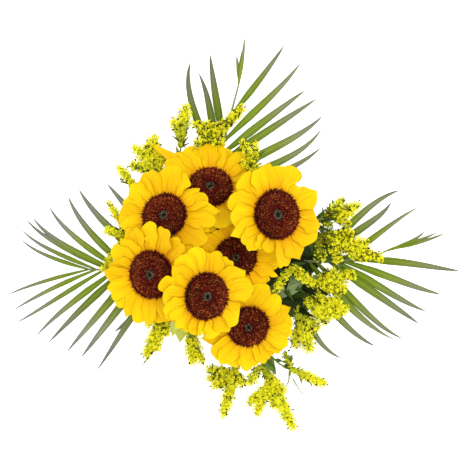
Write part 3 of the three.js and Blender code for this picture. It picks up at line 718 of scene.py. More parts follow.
class Finish:
    """A material whose pattern is read from the map, square by square."""

    def __init__(self, name, roughness, specular):
        self.material = bpy.data.materials.new(name)
        self.material.use_nodes = True
        self.tree = self.material.node_tree
        self.tree.nodes.clear()
        self.shader = self.tree.nodes.new("ShaderNodeBsdfPrincipled")
        output = self.tree.nodes.new("ShaderNodeOutputMaterial")
        self.put(output.inputs["Surface"], self.shader.outputs["BSDF"])
        self.shader.inputs["Roughness"].default_value = roughness
        self.shader.inputs["Specular IOR Level"].default_value = specular
        map_node = self.tree.nodes.new("ShaderNodeUVMap")
        map_node.uv_map = "OFBake"
        split = self.tree.nodes.new("ShaderNodeSeparateXYZ")
        self.put(split.inputs["Vector"], map_node.outputs["UV"])
        self.u, column = self.in_square(split.outputs["X"])
        self.v, row = self.in_square(split.outputs["Y"])
        number = self.math("ADD", self.math("MULTIPLY", row, TILES), column)
        self.tint = self.math("ADD", self.math("DIVIDE", number, TILES**2), 0.5 / TILES**2)

    def in_square(self, place):
        """How far across its own square a place on the map is, and which square that is."""
        scaled = self.math("MULTIPLY", place, TILES)
        number = self.math("FLOOR", scaled)
        inner = self.math("SUBTRACT", self.math("SUBTRACT", scaled, number), INSET)
        return self.math("DIVIDE", inner, 1 - 2 * INSET), number

    def put(self, socket, value):
        if isinstance(value, bpy.types.NodeSocket):
            self.tree.links.new(value, socket)
        else:
            socket.default_value = value

    def math(self, operation, a, b=0.0):
        node = self.tree.nodes.new("ShaderNodeMath")
        node.operation = operation
        self.put(node.inputs[0], a)
        self.put(node.inputs[1], b)
        return node.outputs[0]

    def ramp(self, value, stops, interpolation="LINEAR"):
        node = self.tree.nodes.new("ShaderNodeValToRGB")
        node.color_ramp.interpolation = interpolation
        elements = node.color_ramp.elements
        elements[0].position, elements[0].color = stops[0]
        elements[1].position, elements[1].color = stops[-1]
        for position, colour in stops[1:-1]:
            elements.new(position).color = colour
        self.put(node.inputs[0], value)
        return node.outputs["Color"]

    def steps(self, colours, numbers=None):
        """One plain colour for each square of the map."""
        numbers = numbers or range(len(colours))
        return self.ramp(self.tint, [(n / TILES**2, c) for n, c in zip(numbers, colours)], "CONSTANT")

    def tinted(self, colours, tints):
        return self.steps([paint(*colour) for colour in colours.values()], tints.values())

    def range(self, value, low, high, out_low=0.0, out_high=1.0):
        node = self.tree.nodes.new("ShaderNodeMapRange")
        node.interpolation_type = "SMOOTHSTEP"
        for socket, number in zip(node.inputs, (value, low, high, out_low, out_high)):
            self.put(socket, number)
        return node.outputs[0]

    def noise(self, across, along, detail=3.0):
        """A noise stretched over the square, and different in each one."""
        place = self.tree.nodes.new("ShaderNodeCombineXYZ")
        for socket, value, scale in zip(place.inputs, (self.u, self.v, self.tint), (across, along, 90.0)):
            self.put(socket, self.math("MULTIPLY", value, scale))
        node = self.tree.nodes.new("ShaderNodeTexNoise")
        node.inputs["Scale"].default_value = 1.0
        node.inputs["Detail"].default_value = detail
        self.put(node.inputs["Vector"], place.outputs[0])
        return node.outputs["Fac"]

    def mix(self, factor, a, b, blend="MIX"):
        node = self.tree.nodes.new("ShaderNodeMix")
        node.data_type = "RGBA"
        node.blend_type = blend
        self.put(node.inputs["Factor"], factor)
        self.put(node.inputs[6], a)
        self.put(node.inputs[7], b)
        return node.outputs[2]

    def scaled(self, body, *factors):
        return self.mix(1.0, body, (*factors, 1.0), "MULTIPLY")

    def blend(self, body, other, mask, low, high, most):
        """The body, giving way to the other colour as the mask rises from low to high."""
        return self.mix(self.range(mask, low, high, 0.0, most), body, other)

    def from_middle(self):
        return self.math("ABSOLUTE", self.math("SUBTRACT", self.u, 0.5))

    def centre_line(self, wide):
        """1 on the middle of the square, falling to 0 that far to either side."""
        return self.range(self.from_middle(), 0.0, wide, 1.0, 0.0)

    def done(self, colour, height, depth):
        """The finished material: its colour, and bumps as deep as that many millimetres."""
        node = self.tree.nodes.new("ShaderNodeBump")
        node.inputs["Strength"].default_value = 1.0
        node.inputs["Distance"].default_value = depth * MM
        self.put(node.inputs["Height"], height)
        self.put(self.shader.inputs["Normal"], node.outputs["Normal"])
        self.put(self.shader.inputs["Base Color"], colour)
        return self.material


def petal_finish():
    """Golden yellow, orange at the claw, with fine veins along it and a darker line of painted shade down its
    middle fold.
    """
    made = Finish("ray_petal", 0.6, 0.06)
    body = made.ramp(made.v, [
        (0.0, paint(204, 114, 2)), (0.16, paint(219, 161, 3)), (0.42, paint(227, 182, 4)),
        (0.8, paint(230, 191, 5)), (1.0, paint(233, 198, 8)),
    ])
    fine, broad = made.noise(18.0, 1.2), made.noise(5.0, 2.2)
    body = made.blend(body, paint(213, 153, 2), fine, 0.4, 0.7, 0.45)
    body = made.blend(body, paint(237, 204, 6), broad, 0.4, 0.8, 0.35)
    # A darker orange line down the middle near the claw: painted shade in the petal's centre fold.
    fold = made.math("MULTIPLY", made.centre_line(0.05), made.range(made.v, 0.2, 0.85, 0.7, 0.0))
    body = made.mix(fold, body, paint(200, 116, 6))
    # Each petal's own tint; the last four squares are painted light for the shaded bloom under the others.
    shade = made.steps([(bright, bright * green, bright * green, 1.0) for bright, green in PETAL_TINTS])
    height = made.math("ADD", fine, made.math("MULTIPLY", broad, 0.6))
    return made.done(made.mix(1.0, body, shade, "MULTIPLY"), height, 0.35)


def disc_finish():
    """Florets, each in its own tint, darker at the foot in painted shade down among them."""
    made = Finish("disc_floret", 0.8, 0.08)
    body = made.tinted(DISC_COLOURS, DISC_TINTS)
    # Darker towards each floret's foot: painted shade where the florets crowd.
    body = made.mix(made.range(made.v, 0.1, 0.85), made.scaled(body, 0.5, 0.42, 0.4), body)
    grain = made.noise(9.0, 9.0)
    body = made.blend(body, made.scaled(body, 1.5, 1.35, 1.2), grain, 0.35, 0.7, 0.3)
    return made.done(body, grain, 0.25)


def green_finish():
    """Stems, cups and bracts: fibres along them, and paler where they are worn."""
    made = Finish("green_stem", 0.6, 0.08)
    body = made.tinted(GREEN_COLOURS, GREEN_TINTS)
    fibre, patch = made.noise(26.0, 3.0), made.noise(3.0, 7.0)
    pale, dark = made.scaled(body, 1.45, 1.35, 1.3), made.scaled(body, 0.62, 0.7, 0.6)
    body = made.blend(body, pale, fibre, 0.35, 0.7, 0.55)
    body = made.blend(body, dark, patch, 0.45, 0.75, 0.6)
    return made.done(body, fibre, 0.4)


def palm_finish():
    """Leaflets: olive green at the foot, greying towards the tip in painted sheen, with veins along them and
    a fold.
    """
    made = Finish("palm_leaflet", 0.5, 0.1)
    # Greying from the middle towards the tip is a painted sheen; the very tip is darker.
    body = made.ramp(made.v, [
        (0.0, paint(104, 132, 6)), (0.3, paint(108, 133, 10)), (0.5, paint(114, 129, 42)),
        (0.72, paint(122, 127, 98)), (0.92, paint(112, 113, 98)), (1.0, paint(84, 84, 76)),
    ])
    veins, blotch = made.noise(42.0, 1.2, detail=2.0), made.noise(1.6, 5.0)
    body = made.blend(body, paint(64, 84, 14), veins, 0.35, 0.7, 0.4)
    body = made.blend(body, paint(134, 146, 62), blotch, 0.4, 0.75, 0.35)
    edge = made.math("MULTIPLY", made.range(made.from_middle(), 0.36, 0.5), 0.55)
    body = made.mix(edge, body, paint(56, 74, 16))
    body = made.mix(made.math("MULTIPLY", made.centre_line(0.07), 0.5), body, paint(162, 176, 84))
    # Tints without and with a painted sheen: the second is bluer.
    painted_sheen = [(1.0, 1.0, 0.97), (1.0, 0.96, 1.4)]
    tints = [(level * r, level * g, level * b, 1.0) for r, g, b in painted_sheen for level in PALM_LEVELS]
    return made.done(made.mix(1.0, body, made.steps(tints), "MULTIPLY"), veins, 0.3)


def goldenrod_finish():
    """Florets and buds, each in its own tint, darker at the foot in painted shade where they crowd, and
    darker where the grain is.
    """
    made = Finish("goldenrod_floret", 0.6, 0.08)
    body = made.tinted(ROD_COLOURS, ROD_TINTS)
    grain = made.noise(6.0, 4.0)
    dark = made.scaled(body, 0.72, 0.72, 0.5)
    # Darker towards the foot of each shape: painted shade where the florets crowd.
    body = made.mix(made.range(made.v, 0.0, 0.6, 0.6, 0.0), body, dark)
    return made.done(made.blend(body, dark, grain, 0.4, 0.8, 0.5), grain, 0.2)


def leaf_finish():
    """Broad leaves: a pale midrib and side veins, and blotches."""
    made = Finish("leaf_blade", 0.55, 0.08)
    body = made.tinted(LEAF_COLOURS, LEAF_TINTS)
    along, out = made.math("MULTIPLY", made.v, LEAF["veins"]), made.math("MULTIPLY", made.from_middle(), 7.0)
    vein = made.range(made.math("PINGPONG", made.math("SUBTRACT", along, out), 0.5), 0.0, 0.09, 1.0, 0.0)
    pale = made.scaled(body, 1.7, 1.5, 1.5)
    body = made.mix(made.math("MULTIPLY", vein, 0.55), body, pale)
    body = made.mix(made.math("MULTIPLY", made.centre_line(0.05), 0.8), body, pale)
    blotch = made.noise(5.0, 5.0)
    body = made.blend(body, made.scaled(body, 0.7, 0.75, 0.7), blotch, 0.4, 0.75, 0.5)
    return made.done(body, made.math("ADD", made.math("MULTIPLY", vein, -0.6), blotch), 0.6)


def twine_finish():
    made = Finish("twine", 0.85, 0.15)
    fibre = made.noise(10.0, 90.0)
    body = made.mix(made.range(fibre, 0.3, 0.7), paint(150, 120, 74), paint(206, 178, 126))
    return made.done(body, fibre, 0.5)


FINISHES = {
    "petal": petal_finish(), "disc": disc_finish(), "green": green_finish(), "palm": palm_finish(),
    "goldenrod": goldenrod_finish(), "leaf": leaf_finish(), "twine": twine_finish(),
}

# ---- blooms ----


def add_placed(heap, bloom, points, faces, places, tints=0):
    """Adds shapes that are in a bloom's own axes, put where the bloom is."""
    heap.add(points @ bloom_axes(bloom).T + np.array(bloom["at"]), faces, places, tints)


def petal_row(bloom, rng, plans, height, pitch, roll):
    """A ring of petals, each with its bearing, reach and width, and otherwise no two alike."""
    bearings, reaches, widths = np.array(plans, float).T
    count = len(bearings)
    root = PETAL["root"] * bloom["disc"]
    pointed = np.isin(bearings, POINTED[bloom["name"]])
    taper = np.where(pointed, 1.25, rng.uniform(0.35, 0.85, count))[:, None, None]
    waist = np.where(pointed, 0.42, rng.uniform(0.5, 0.7, count))[:, None, None]
    points, faces, places = blades(
        PETAL["rows"], PETAL["columns"], lambda t: outline(t, waist, 0.5, 2, taper),
        length=PETAL["reach"] * reaches * bloom["reach"] - root,
        width=widths * bloom["reach"],
        pitch=np.radians(pitch + rng.normal(0, 1.5, count)),
        bend=np.radians(rng.normal(-3, 6.0, count)),
        curl=np.radians(rng.normal(-8, 14.0, count)),
        roll=np.radians(roll + rng.normal(0, 2.5, count)),
        twist=np.radians(rng.normal(0, 7.0, count)),
        cup=rng.normal(0.04, 0.05, count),
        crease=rng.uniform(0.2, 0.6, count),
        creases=rng.uniform(2.4, 3.6, count),
        ripple=rng.uniform(0.5, 2.2, count),
        waves=rng.uniform(0.8, 1.8, count),
        phase=rng.uniform(0, 1, count),
        sway=rng.normal(0, 0.09, count),
        notch=np.where(pointed, 0, np.maximum(rng.normal(1.4, 2.6, count), 0)),
        wobble=rng.normal(0, 0.09, (2, count)),
        thickness=PETAL["thickness"],
    )
    spots, axes = whorl_places(np.radians(bearings), root, height)
    # The bloom under the others takes the brighter tints: painted light on its shaded petals.
    first, end = (PLAIN_PETAL_TINTS, len(PETAL_TINTS)) if bloom["name"] == "middle" else (0, PLAIN_PETAL_TINTS)
    return stand(points, spots, axes), faces, places, rng.integers(first, end, count)


def petals_between(name):
    """The lower petals: one behind each gap between neighbours of the upper row."""
    plans = sorted(PETALS[name])
    lower = list(STRAY.get(name, []))
    for here, after in zip(plans, plans[1:] + plans[:1]):
        gap = (after[0] - here[0]) % 360
        shorter = min(here[1], after[1])
        lower.append((here[0] + gap / 2, shorter * max(0.74, 0.98 - gap / 120), 0.42))
    return lower


def bloom_petals(bloom, rng):
    """An upper and a lower row of petals, which rise to the height of the bloom's cup."""
    heap = Heap()
    name = bloom["name"]
    lift = math.degrees(math.atan2(bloom["cup"], bloom["reach"] - bloom["disc"]))
    for plans, (height, pitch, roll) in ((PETALS[name], UPPER_ROW), (petals_between(name), LOWER_ROW)):
        add_placed(heap, bloom, *petal_row(bloom, rng, plans, height, lift + pitch, roll))
    make_piece(f"{name}_petals", heap, "petal", [f"sunflower_{name}_petals"])


def dome_height(part):
    return np.interp(part, *DOME.T)


def scatter_on_dome(heap, bloom, template, part, azimuth, splay, sizes, tints, wobble=0.0):
    """Florets at parts of the dome's radius, standing on it but splayed outwards by so many degrees."""
    radius = DISC["fill"] * bloom["disc"]
    step = 0.04
    fall = (dome_height(part - step) - dome_height(part + step)) / (2 * step * radius)
    lean = np.arctan(fall) + np.radians(splay)
    out, _ = ring_vectors(azimuth)
    spots = out * (part * radius)[:, None] + UP * (dome_height(part) - DISC["sunk"])[:, None]
    normals = unit(out * np.sin(lean)[:, None] + UP * np.cos(lean)[:, None] + wobble)
    turn = bloom_axes(bloom).T
    heap.scatter(template, spots @ turn + np.array(bloom["at"]), standing_on(normals @ turn), sizes, tints)


def bloom_disc(bloom, rng):
    """The head's florets on a sunflower spiral: closed ones at the eye, open ones round it, and a fringe."""
    heap = Heap()
    radius = DISC["fill"] * bloom["disc"]
    bed = [(part * radius, height - DISC["bed"]) for part, height in DOME]
    bed += [(radius * DISC["edge"], 0.4), (0.0, 0.4)]
    # The bed under the florets, near black: painted shade in the gaps between them.
    add_placed(heap, bloom, *turned_profile(bed, 36), DISC_TINTS["bed"])

    count = int(DISC["density"] * radius**2 * math.pi)
    number = np.arange(count)
    part = np.sqrt((number + 0.5) / count) * DISC["edge"]
    wobble = rng.normal(0, 1, (count, 3))
    tall = np.interp(part, [0, 0.1, 0.24, 0.32, 0.6, 1.0], [1.6, 1.8, 2.2, 2.4, 3.3, 3.6])
    wide = np.interp(part, [0, 0.24, 0.4, 1.0], [0.84, 0.88, 0.92, 1.0])
    sizes = slender(wide, tall * rng.uniform(0.8, 1.25, count))
    tints = disc_tints(part, rng)
    floret = turned_profile([(0.7, 0), (1.0, 0.6), (0.16, 1.0)], 4)
    scatter_on_dome(heap, bloom, floret, part, number * GOLDEN_ANGLE, 10 * part, sizes, tints, 0.14 * wobble)

    spike = turned_profile([(0.6, 0), (0.85, 0.35), (0.5, 0.7), (0.06, 1.0)], 4)
    count = DISC["fringe"]
    azimuth = np.linspace(0, 2 * math.pi, count, endpoint=False) + rng.normal(0, 0.03, count)
    part = rng.uniform(0.9, 1.02, count)
    splay = rng.uniform(-16, 20, count)
    sizes = slender(1.15, rng.uniform(3.8, 8.2, count))
    tints = drawn(rng, DISC_TINTS, ("dark", "maroon", "red"), (0.45, 0.35, 0.2), count)
    scatter_on_dome(heap, bloom, spike, part, azimuth, splay, sizes, tints)

    count = DISC["stamens"]
    azimuth = rng.uniform(0, 2 * math.pi, count)
    part = rng.uniform(0.98, 1.04, count)
    splay = rng.uniform(14, 30, count)
    sizes = slender(0.5, rng.uniform(4.5, 7.0, count))
    scatter_on_dome(heap, bloom, spike, part, azimuth, splay, sizes, DISC_TINTS["gold"])
    name = bloom["name"]
    make_piece(f"{name}_disc", heap, "disc", [f"sunflower_{name}_disc"], smooth=False)


# The disc's zones: the part of its radius where each ends, its tints and their odds.
ZONES = [
    (0.09, ["eye"], [1]),
    (0.21, ["green", "olive", "eye"], [0.6, 0.28, 0.12]),
    (0.28, ["dark", "olive", "maroon"], [0.45, 0.15, 0.4]),
    (0.48, ["dark", "maroon", "red", "orange"], [0.26, 0.5, 0.18, 0.06]),
    (0.86, ["dark", "maroon", "red", "brown", "russet", "orange"], [0.17, 0.16, 0.2, 0.26, 0.13, 0.08]),
    (1.0, ["dark", "maroon", "brown"], [0.55, 0.25, 0.2]),
]


def disc_tints(part, rng):
    """A square of the disc's finish for each floret, by its place between the eye and the rim."""
    chosen = np.zeros(len(part), int)
    lower = 0.0
    for upper, kinds, odds in ZONES:
        here = (part >= lower) & (part < upper)
        chosen[here] = drawn(rng, DISC_TINTS, kinds, odds, here.sum())
        lower = upper
    return chosen


def bloom_stem(bloom, rng):
    """Cup, ridged stem, bracts under the petals and bristles, as one green piece."""
    heap = Heap()
    course = bloom_stem_course(bloom)
    distances = np.concatenate([
        np.linspace(0, CUP["depth"], 13), np.linspace(CUP["depth"] + 4, course.length, 30)])
    radii = stem_radius(bloom, distances) * (1 + 0.012 * np.sin(distances * 0.35 + rng.uniform(0, 6)))
    heap.add(*tube(course, distances, radii, 24, ridges=0.035, count=8), GREEN_TINTS["stem"])

    for count, start, reach, drop, pitch in BRACTS:
        azimuths = 2 * math.pi * (np.arange(count) + start) / count + rng.normal(0, 0.05, count)
        points, faces, places = blades(
            BRACT["rows"], BRACT["columns"], lance,
            length=reach * rng.uniform(0.88, 1.15, count),
            width=BRACT["width"] * rng.uniform(0.85, 1.15, count),
            pitch=np.radians(pitch + rng.normal(0, 3, count)),
            bend=np.radians(rng.normal(-6, 8, count)),
            curl=np.radians(rng.normal(-22, 16, count)),
            cup=-0.12,
            fold=0.12,
            ripple=0.4,
            phase=rng.uniform(0, 1, count),
            thickness=BRACT["thickness"],
        )
        spots, axes = whorl_places(azimuths, stem_radius(bloom, -drop) - BRACT["sunk"], drop)
        tints = drawn(rng, GREEN_TINTS, ("bract", "bract_pale"), (0.7, 0.3), count)
        add_placed(heap, bloom, stand(points, spots, axes), faces, places, tints)

    count = BRISTLES["count"]
    along = rng.uniform(BRISTLES["below"], course.length - BRISTLES["above"], count)
    heading = course.heading(along)
    out = beside(heading, rng.uniform(0, 2 * math.pi, count))
    roots = course.at(along) + out * (stem_radius(bloom, along) - 0.1)[:, None]
    bristle = turned_profile([(0.14, 0), (0.02, 1.0)], 3)
    sizes = slender(1.0, rng.uniform(1.0, 2.0, count))
    heap.scatter(bristle, roots, standing_on(out - 0.3 * heading), sizes, GREEN_TINTS["hair"])
    name = bloom["name"]
    make_piece(f"{name}_stem", heap, "green", [f"sunflower_{name}_stem"])


# ---- fronds ----


def leaflet(course, side, width, rng):
    """A long leaflet along a course, folded down its middle and turned a little towards its tip."""
    part = 1 - (1 - np.linspace(0, 1, LEAFLET["rows"])) ** 1.3
    s, above = blade_loop(LEAFLET["columns"])
    t = part[:, None]
    half = np.maximum(width / 2 * np.minimum(1, 0.34 + 2.0 * t) * (1 - t**2.4) ** 0.68, LEAFLET["least"])
    lift = rng.uniform(0.22, 0.42) * half * (np.abs(s) - 0.4)
    lift = lift + above * LEAFLET["thickness"] / 2 * plump(s) * (1.1 - 0.6 * t)
    twist = rng.normal(0, 0.22) + rng.normal(0, 0.4) * t**2
    x = half * s * np.cos(twist) - lift * np.sin(twist)
    z = half * s * np.sin(twist) + lift * np.cos(twist)
    return ribbon(course, part, side, s, x, z)


def leaflet_course(root, way, bend, hook, length):
    """Out from the rib along its bearing, turning on the way, and down to the table."""
    t = np.linspace(0, 1, 60)
    bearing = np.radians(way + bend * t + hook * t**4)
    steps = np.stack([np.cos(bearing), np.sin(bearing)], -1)[1:] * length / (len(t) - 1)
    flat = root[:2] + np.vstack([[0, 0], np.cumsum(steps, axis=0)])
    drop = root[2] - LEAFLET["low"]
    z = LEAFLET["low"] + drop * (1 - t) + 4 * t * (1 - t) * (LEAFLET["sag"] * drop + LEAFLET["arch"])
    return Course(np.column_stack([flat, z]))


def frond(plant, rng):
    """A ridged rib, and its leaflets, the last few of them shaded by what lies over them."""
    course = thin_stem_course(plant["slot"], plant["rib"])
    length = course.length
    rib = Heap()
    distances = np.linspace(0, length, RIB["rows"])
    radii = np.interp(distances / length, RIB["parts"], RIB["radii"])
    rib.add(*tube(course, distances, radii, RIB["sides"], ridges=0.06, count=3), GREEN_TINTS["rib"])
    leaflets = Heap()
    open_ones = len(plant["leaflets"]) - plant.get("shaded", 0)
    # A frond with a painted sheen takes the bluer copy of the tints.
    sheen_offset = len(PALM_LEVELS) if plant.get("painted_sheen") else 0
    for number, (before, way, bend, hook, reach) in enumerate(plant["leaflets"]):
        line = leaflet_course(course.at(length - before), way, bend, hook, reach)
        side = np.cross(line.heading(0.0), UP)
        width = mix(LEAFLET["narrow"], LEAFLET["wide"], min(1, before / LEAFLET["widens"]))
        made = leaflet(line, side, width * rng.uniform(0.92, 1.06), rng)
        tint = rng.integers(0, SHADED_LEAFLET) if number < open_ones else SHADED_LEAFLET
        leaflets.add(*made, tint + sheen_offset)
    name = plant["name"]
    make_piece(f"{name}_frond_rib", rib, "green", [f"palm_stalk_{name}"])
    make_piece(f"{name}_frond_leaflets", leaflets, "palm", [f"palm_frond_{name}"])


# ---- goldenrod ----

# Twigs spring along a finger and lean upwards and onwards. Their reach is a share of the finger's swelling,
# and they curl up by a share of that reach. Florets stand along them, to either side.
TWIGS = {"apart": 1.0, "upward": 0.35, "onward": 0.75, "reach": 1.2, "curl": 0.12}
FLORET = {"apart": 2.0, "aside": 0.5, "half_open": 0.22, "speck": 1.6, "rays": 5, "foot": 1.5}
# Limbs: their rows, radius at the foot and at the tip, and sides. A packed core's radius is a share of
# its finger's.
FINGER = (14, 0.85, 0.4, 6)
BRANCH = (24, 1.5, 1.1, 8)
TENDRIL = (20, 1.1, 0.6, 6)
TRUNK = (40, TWIG["radius"], 1.2, 8)
CORE = {"rows": 22, "sides": 9, "share": 0.7, "end": 0.5}
# Tints for the cups under florets, for buds and for rays, and their odds.
ROD_ODDS = (
    (("cup", "bud", "lime"), (0.4, 0.4, 0.2)), (("olive", "bud", "lime"), (0.35, 0.35, 0.3)),
    (("lemon", "yellow", "gold"), (0.5, 0.38, 0.12)),
)


def ray_template(spread, length):
    """The rays of one floret: slim closed darts that stand round its axis, spread degrees from it."""
    rays = FLORET["rays"]
    corners, faces, places = [], [], []
    spread = math.radians(spread)
    left, right, foot, tip = (0.0, 0.5), (1.0, 0.5), (0.5, 0.0), (0.5, 1.0)
    for number, (out, over) in enumerate(zip(*ring_vectors(2 * math.pi * np.arange(rays) / rays))):
        root = out * 0.4 + UP * FLORET["foot"]
        way = out * math.sin(spread) + UP * math.cos(spread)
        below = UP * math.sin(spread) - out * math.cos(spread)
        middle = root + way * length * 0.55
        a, b, c, d = np.arange(4) + 4 * number
        corners += [middle + over * 0.85, middle - over * 0.85, root - below * 0.2, root + way * length]
        faces += [(a, b, d), (a, c, b), (b, c, d), (c, a, d)]
        places += [(left, right, tip), (left, foot, right), (right, foot, tip), (foot, left, tip)]
    return np.array(corners), np.array(faces), np.array(places)


CUP_SHAPE = turned_profile([(0.1, 0.0), (0.75, 1.1), (0.3, 2.2)], 3)
BUD_SHAPE = turned_profile([(0.1, 0.0), (0.8, 0.9), (0.7, 1.8), (0.08, 2.6)], 4)
HEART_SHAPE = turned_profile([(0.5, 1.5), (0.85, 2.1), (0.2, 2.6)], 3)
OPEN_RAYS = ray_template(70, 2.6)
HALF_RAYS = ray_template(36, 2.3)
TWIG_SHAPE = turned_profile([(1.0, 0), (0.6, 1.0)], 3)


def swelling(girth, part):
    """How thick a finger is at a part of its length: full below its middle and thin at its ends."""
    return girth / 2 * np.sin(math.pi * (0.12 + 0.8 * part)) ** 0.7


def floret_spots(course, girth, rng):
    """Where one finger's florets stand, which way they face, how near its tip, and each twig's two ends."""
    count = int(course.length / TWIGS["apart"])
    distance = (np.arange(count) + rng.uniform(0.2, 0.8, count)) * TWIGS["apart"]
    distance = np.minimum(distance, course.length)
    at, across, over = course.frames(distance)
    part = distance / course.length
    out = swung(across, over, np.arange(count) * GOLDEN_ANGLE + rng.uniform(0, 6.28))
    way = unit(out + TWIGS["upward"] * UP + TWIGS["onward"] * course.heading(distance))
    reach = swelling(girth, part) * TWIGS["reach"] * rng.uniform(0.75, 1.12, count)
    spots, facing, nearness, ends = [], [], [], []
    for i in range(count):
        steps = max(2, int(round(reach[i] / FLORET["apart"])))
        t = (np.arange(steps) + 1)[:, None] / steps
        side = unit(np.cross(way[i], UP) + 1e-6)
        line = at[i] + way[i] * (reach[i] * t) + UP * (TWIGS["curl"] * reach[i] * t**2)
        sign = np.where(np.arange(steps) % 2, 1.0, -1.0)[:, None]
        turn = side * np.where(t > 0.99, 0.0, sign) + 0.5 * UP
        spots.append(line + FLORET["aside"] * turn)
        facing.append(unit(0.7 * way[i] + 0.8 * turn + rng.normal(0, 0.28, (steps, 3))))
        nearness.append(np.full(steps, part[i]))
        ends.append(line[-1])
    return np.concatenate(spots), np.concatenate(facing), np.concatenate(nearness), at, np.array(ends)


def spray(plume, rng):
    """One spray: fingers of twigs round a packed core, with a floret, bud or dark speck at every spot. The
    specks are painted shade in the gaps between florets, and dark green bits.
    """
    heap = Heap()
    twigs = Heap()
    foot = np.array(plume["from"])
    unopened_reach = plume.get("unopened", 0.0) * np.linalg.norm(plume["to"] - foot)
    for course, girth in spray_fingers(plume):
        spots, facing, nearness, starts, ends = floret_spots(course, girth, rng)
        sizes = slender(0.4, np.linalg.norm(ends - starts, axis=1))
        twigs.scatter(TWIG_SHAPE, starts, standing_on(ends - starts), sizes, GREEN_TINTS["twig"])
        twigs.limb(course, FINGER, GREEN_TINTS["twig"])
        lumps = np.linspace(0, 1, CORE["rows"])
        radii = CORE["share"] * swelling(girth, lumps) * rng.uniform(0.8, 1.15, CORE["rows"])
        radii[[0, -1]] = CORE["end"]
        along = lumps * course.length
        core = tube(course, along, radii, CORE["sides"], ridges=0.2, count=3, phase=rng.uniform(0, 6))
        heap.add(*core, ROD_TINTS[plume.get("core", "core")])
        axes = standing_on(facing)
        count = len(spots)
        size = rng.uniform(0.85, 1.15, count)
        kind = rng.uniform(0, 1, count)
        unopened = np.linalg.norm(spots - foot, axis=1) < unopened_reach
        closed = 0.1 + 0.25 * (nearness < 0.25) + plume.get("green", 0.0) + 0.65 * unopened
        # Dark specks: painted shade in the gaps between florets, and dark green bits.
        speck = rng.uniform(0, 1, count) < plume.get("speck", PLUME["speck"])
        bud = (kind < closed) & ~speck
        half = (kind >= closed) & (kind < closed + FLORET["half_open"]) & ~speck
        full = ~(bud | half | speck)
        cups, buds, rays = (drawn(rng, ROD_TINTS, names, odds, count) for names, odds in ROD_ODDS)
        specks, hearts = np.full(count, ROD_TINTS["speck"]), np.full(count, ROD_TINTS["heart"])
        for shape, at, scale, those, tints in (
            (BUD_SHAPE, spots + facing, FLORET["speck"], speck, specks), (CUP_SHAPE, spots, 1, ~bud, cups),
            (BUD_SHAPE, spots, 1, bud, buds), (HALF_RAYS, spots, 1, half, rays),
            (OPEN_RAYS, spots, 1, full, rays), (HEART_SHAPE, spots, 1, full, hearts),
        ):
            heap.scatter(shape, at[those], axes[those], scale * size[those], tints[those])
    name = plume["name"]
    node = f"goldenrod_spray_{name}"
    make_piece(f"{name}_florets", heap, "goldenrod", [node], smooth=False)
    make_piece(f"{name}_twigs", twigs, "green", [node])


def small_leaves(heap, course, spans, kind, rng, share=1.0):
    """Narrow leaves of one kind that spring from a thin stem, between two parts of its length."""
    count, length, tints = LEAFY[kind]
    count = int(share * count)
    distance = rng.uniform(*spans, count) * course.length
    heading = course.heading(distance)
    out = beside(heading, rng.uniform(0, 2 * math.pi, count))
    way = unit(unit(out + 0.3 * UP) + rng.uniform(0.3, 1.2, count)[:, None] * heading)
    across = unit(np.cross(way, UP + 1e-3))
    axes = np.stack([across, way, np.cross(across, way)], axis=-1)
    points, faces, places = blades(
        SMALL_LEAF["rows"], SMALL_LEAF["columns"], lance,
        length=length * rng.uniform(0.6, 1.2, count),
        width=length * SMALL_LEAF["width"] * rng.uniform(0.8, 1.2, count),
        bend=np.radians(rng.normal(-25, 18, count)),
        fold=0.25,
        twist=np.radians(rng.normal(0, 25, count)),
        thickness=SMALL_LEAF["thickness"],
    )
    chosen = drawn(rng, LEAF_TINTS, tints, (0.4, 0.35, 0.25), count)
    heap.add(stand(points, course.at(distance), axes), faces, places, chosen)


def goldenrod_stem(name, slot, sprays, rng):
    """A forked stem: a trunk to its first spray and a branch from the fork to each of the others."""
    heap = Heap()
    leaves = Heap()
    ends = []
    for plume in sprays:
        way = spray_fingers(plume)[0][0].heading(0.0)
        ends.append([np.array(plume["from"]) - way * back for back in (PLUME["neck"], 0.3)])
    trunk = thin_stem_course(slot, ends[0])
    heap.limb(trunk, TRUNK, GREEN_TINTS["twig"], ridges=0.05, count=4)
    kind = name if name in LEAFY else "others"
    small_leaves(leaves, trunk, (0.4, 1.0), kind, rng)
    for end in ends[1:]:
        branch = Course(spline([trunk.at(PLUME["fork"] * trunk.length), *end]))
        heap.limb(branch, BRANCH, GREEN_TINTS["twig"])
        small_leaves(leaves, branch, (0.2, 1.0), kind, rng, share=0.7)
    for plume in sprays:
        for course, _ in spray_fingers(plume)[:2]:
            small_leaves(leaves, course, (0.0, 0.6), "spray", rng)
    for points in TENDRILS.get(name, []):
        heap.limb(Course(spline(points)), TENDRIL, GREEN_TINTS["twig"])
    node = f"goldenrod_stem_{name}"
    make_piece(f"{name}_goldenrod_stem", heap, "green", [node])
    make_piece(f"{name}_goldenrod_leaves", leaves, "leaf", [node])


# ---- leaves and tie ----


